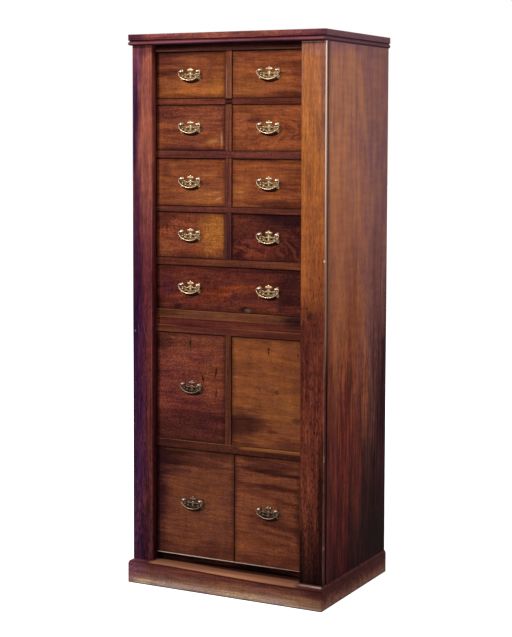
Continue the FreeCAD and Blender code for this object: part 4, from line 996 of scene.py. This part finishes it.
def post(bm, side):
    """A turned post: a moulded collar and neck, a ball bored for the bail, and a threaded shank with its nut."""
    foot = (side * HANDLE_POST, 0.0, 0.0)
    lathe(bm, POST_PROFILE, foot, (0, -1, 0), 24)
    ball = []
    rim = asin(BORE / SPHERE)
    for step in range(13):
        angle = pi - (pi - rim) * step / 12.0
        ball.append((SPHERE * cos(angle), SPHERE * sin(angle) if step else 0.0))
    ball += [(SPHERE * cos(rim) - 0.25, BORE - 0.02), (-BORE_DEPTH, BORE - 0.02), (-BORE_DEPTH, 0.0)]
    lathe(bm, ball, (side * HANDLE_POST, -BAIL_HEIGHT, 0.0), (side, 0, 0), 28)
    shank = [(-1.4, 0.0), (-1.4, 2.0), (19.0, 2.0)]
    for thread in range(8):
        shank += [(19.3 + thread * 0.7, 2.0), (19.65 + thread * 0.7, 1.72)]
    shank += [(25.0, 1.7), (25.0, 0.0)]
    lathe(bm, shank, foot, (0, 1, 0), 14)
    nut = [(20.02, 2.04), (20.02, NUT_HALF), (22.5, NUT_HALF), (23.0, NUT_HALF - 0.7), (23.0, 2.04)]
    lathe(bm, nut, foot, (0, 1, 0), 4, pi / 4.0, closed=True)


def bail_line():
    """The middle line of the bail from its lowest point to its right-hand pin, with the bar's radius."""
    turn = radians(BAIL_TURN)
    down = BAIL_DROP - BAIL_SHOULDER
    a, b, c, d = 1.0 - cos(turn), cos(turn), sin(turn), 1.0 - sin(turn)
    determinant = a * d - b * c
    corner = (BAIL_HALF_WIDTH * d - b * down) / determinant
    belly = (a * down - BAIL_HALF_WIDTH * c) / determinant
    shoulder = BAIL_HALF_WIDTH - BAIL_SHOULDER
    line = []
    for centre, radius, first, last, steps, thick, thin in (
            ((0.0, belly - BAIL_DROP), belly, -90.0, -BAIL_TURN, 14, 1.85, 1.7),
            ((BAIL_HALF_WIDTH - corner, -BAIL_SHOULDER), corner, -BAIL_TURN, 0.0, 12, 1.7, 1.5),
            ((shoulder, -BAIL_SHOULDER), BAIL_SHOULDER, 0.0, 90.0, 8, 1.5, 1.5)):
        for step in range(steps):
            along = step / steps
            angle = radians(first + (last - first) * along)
            line.append((centre[0] + radius * cos(angle), centre[1] + radius * sin(angle),
                         thick + (thin - thick) * along))
    neck = ((shoulder, 1.6), (38.35, 1.65), (38.2, 2.05), (NECK_START + 0.15, 2.1), (NECK_START, 1.95),
            (NECK_START - 0.05, 1.6), (PIN_END + 0.3, 1.6), (PIN_END, 1.35))
    return line + [(x, 0.0, radius) for x, radius in neck]


def bail(bm):
    """Sweeps the bar along its middle line. It lies in one plane, out from the face by BAIL_HEIGHT."""
    right = bail_line()
    line = mirrored(right[1:]) + right
    rings = []
    for index, (x, z, radius) in enumerate(line):
        before = line[max(index - 1, 0)]
        after = line[min(index + 1, len(line) - 1)]
        run = Vector((after[0] - before[0], 0.0, after[1] - before[1])).normalized()
        rings.append(ring(bm, Vector((x, -BAIL_HEIGHT, z)), Vector((-run.z, 0.0, run.x)), Vector((0.0, 1.0, 0.0)),
                          radius, 14))
    bridge(bm, rings, 14)
    bm.faces.new(rings[0])
    bm.faces.new(rings[-1][::-1])


def make_piece(name, bm, slot, body, node):
    """Turns drawn metal into a piece that rides on a body and stands for a CAD node."""
    bmesh.ops.recalc_face_normals(bm, faces=bm.faces)
    mesh = bpy.data.meshes.new(name)
    bm.to_mesh(mesh)
    bm.free()
    mesh.polygons.foreach_set("use_smooth", [True] * len(mesh.polygons))
    mesh.set_sharp_from_angle(angle=radians(38.0))
    mesh.materials.append(BRASSES[slot])
    piece = add_object(name, mesh)
    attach(piece, body)
    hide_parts(node)


def on_face(bm, first, x, z):
    """Scales what was drawn since a count of points to metres, and sets it on the drawer's face."""
    place = Matrix.Translation((x, FACE_Y, z)) @ Matrix.Scale(MM, 4)
    bm.verts.ensure_lookup_table()
    bmesh.ops.transform(bm, matrix=place, verts=bm.verts[first:])


body_of_node = {node: body for body, nodes in frame["record"]["behaviour"]["bodies"].items() for node in nodes}
plate = plate_mesh()
mounts = {}
for child, _, x, z in BAILS:
    tag = child[len("bail_"):]
    slot = "aged_brass" if tag.startswith(("deep", "bottom")) else "bright_brass"
    bar = bmesh.new()
    bail(bar)
    on_face(bar, 0, x, z)
    make_piece("drop_bail_" + tag, bar, slot, child, child)
    node = "handle_plate_" + ("long" if tag.startswith("long") else tag)
    mounts.setdefault(node, (slot, []))[1].append((x, z))

for node, (slot, places) in mounts.items():
    mount = bmesh.new()
    for x, z in places:
        first = len(mount.verts)
        mount.from_mesh(plate)
        for boss_x, boss_z, radius, height in PLATE_BOSSES:
            for side in ((-1, 1) if boss_x else (1,)):
                dome(mount, side * boss_x, boss_z, radius, height)
        for side in (-1, 1):
            post(mount, side)
        on_face(mount, first, x, z)
    make_piece(node.replace("handle_plate", "wing_plate"), mount, slot, body_of_node[node], node)
bpy.data.meshes.remove(plate)
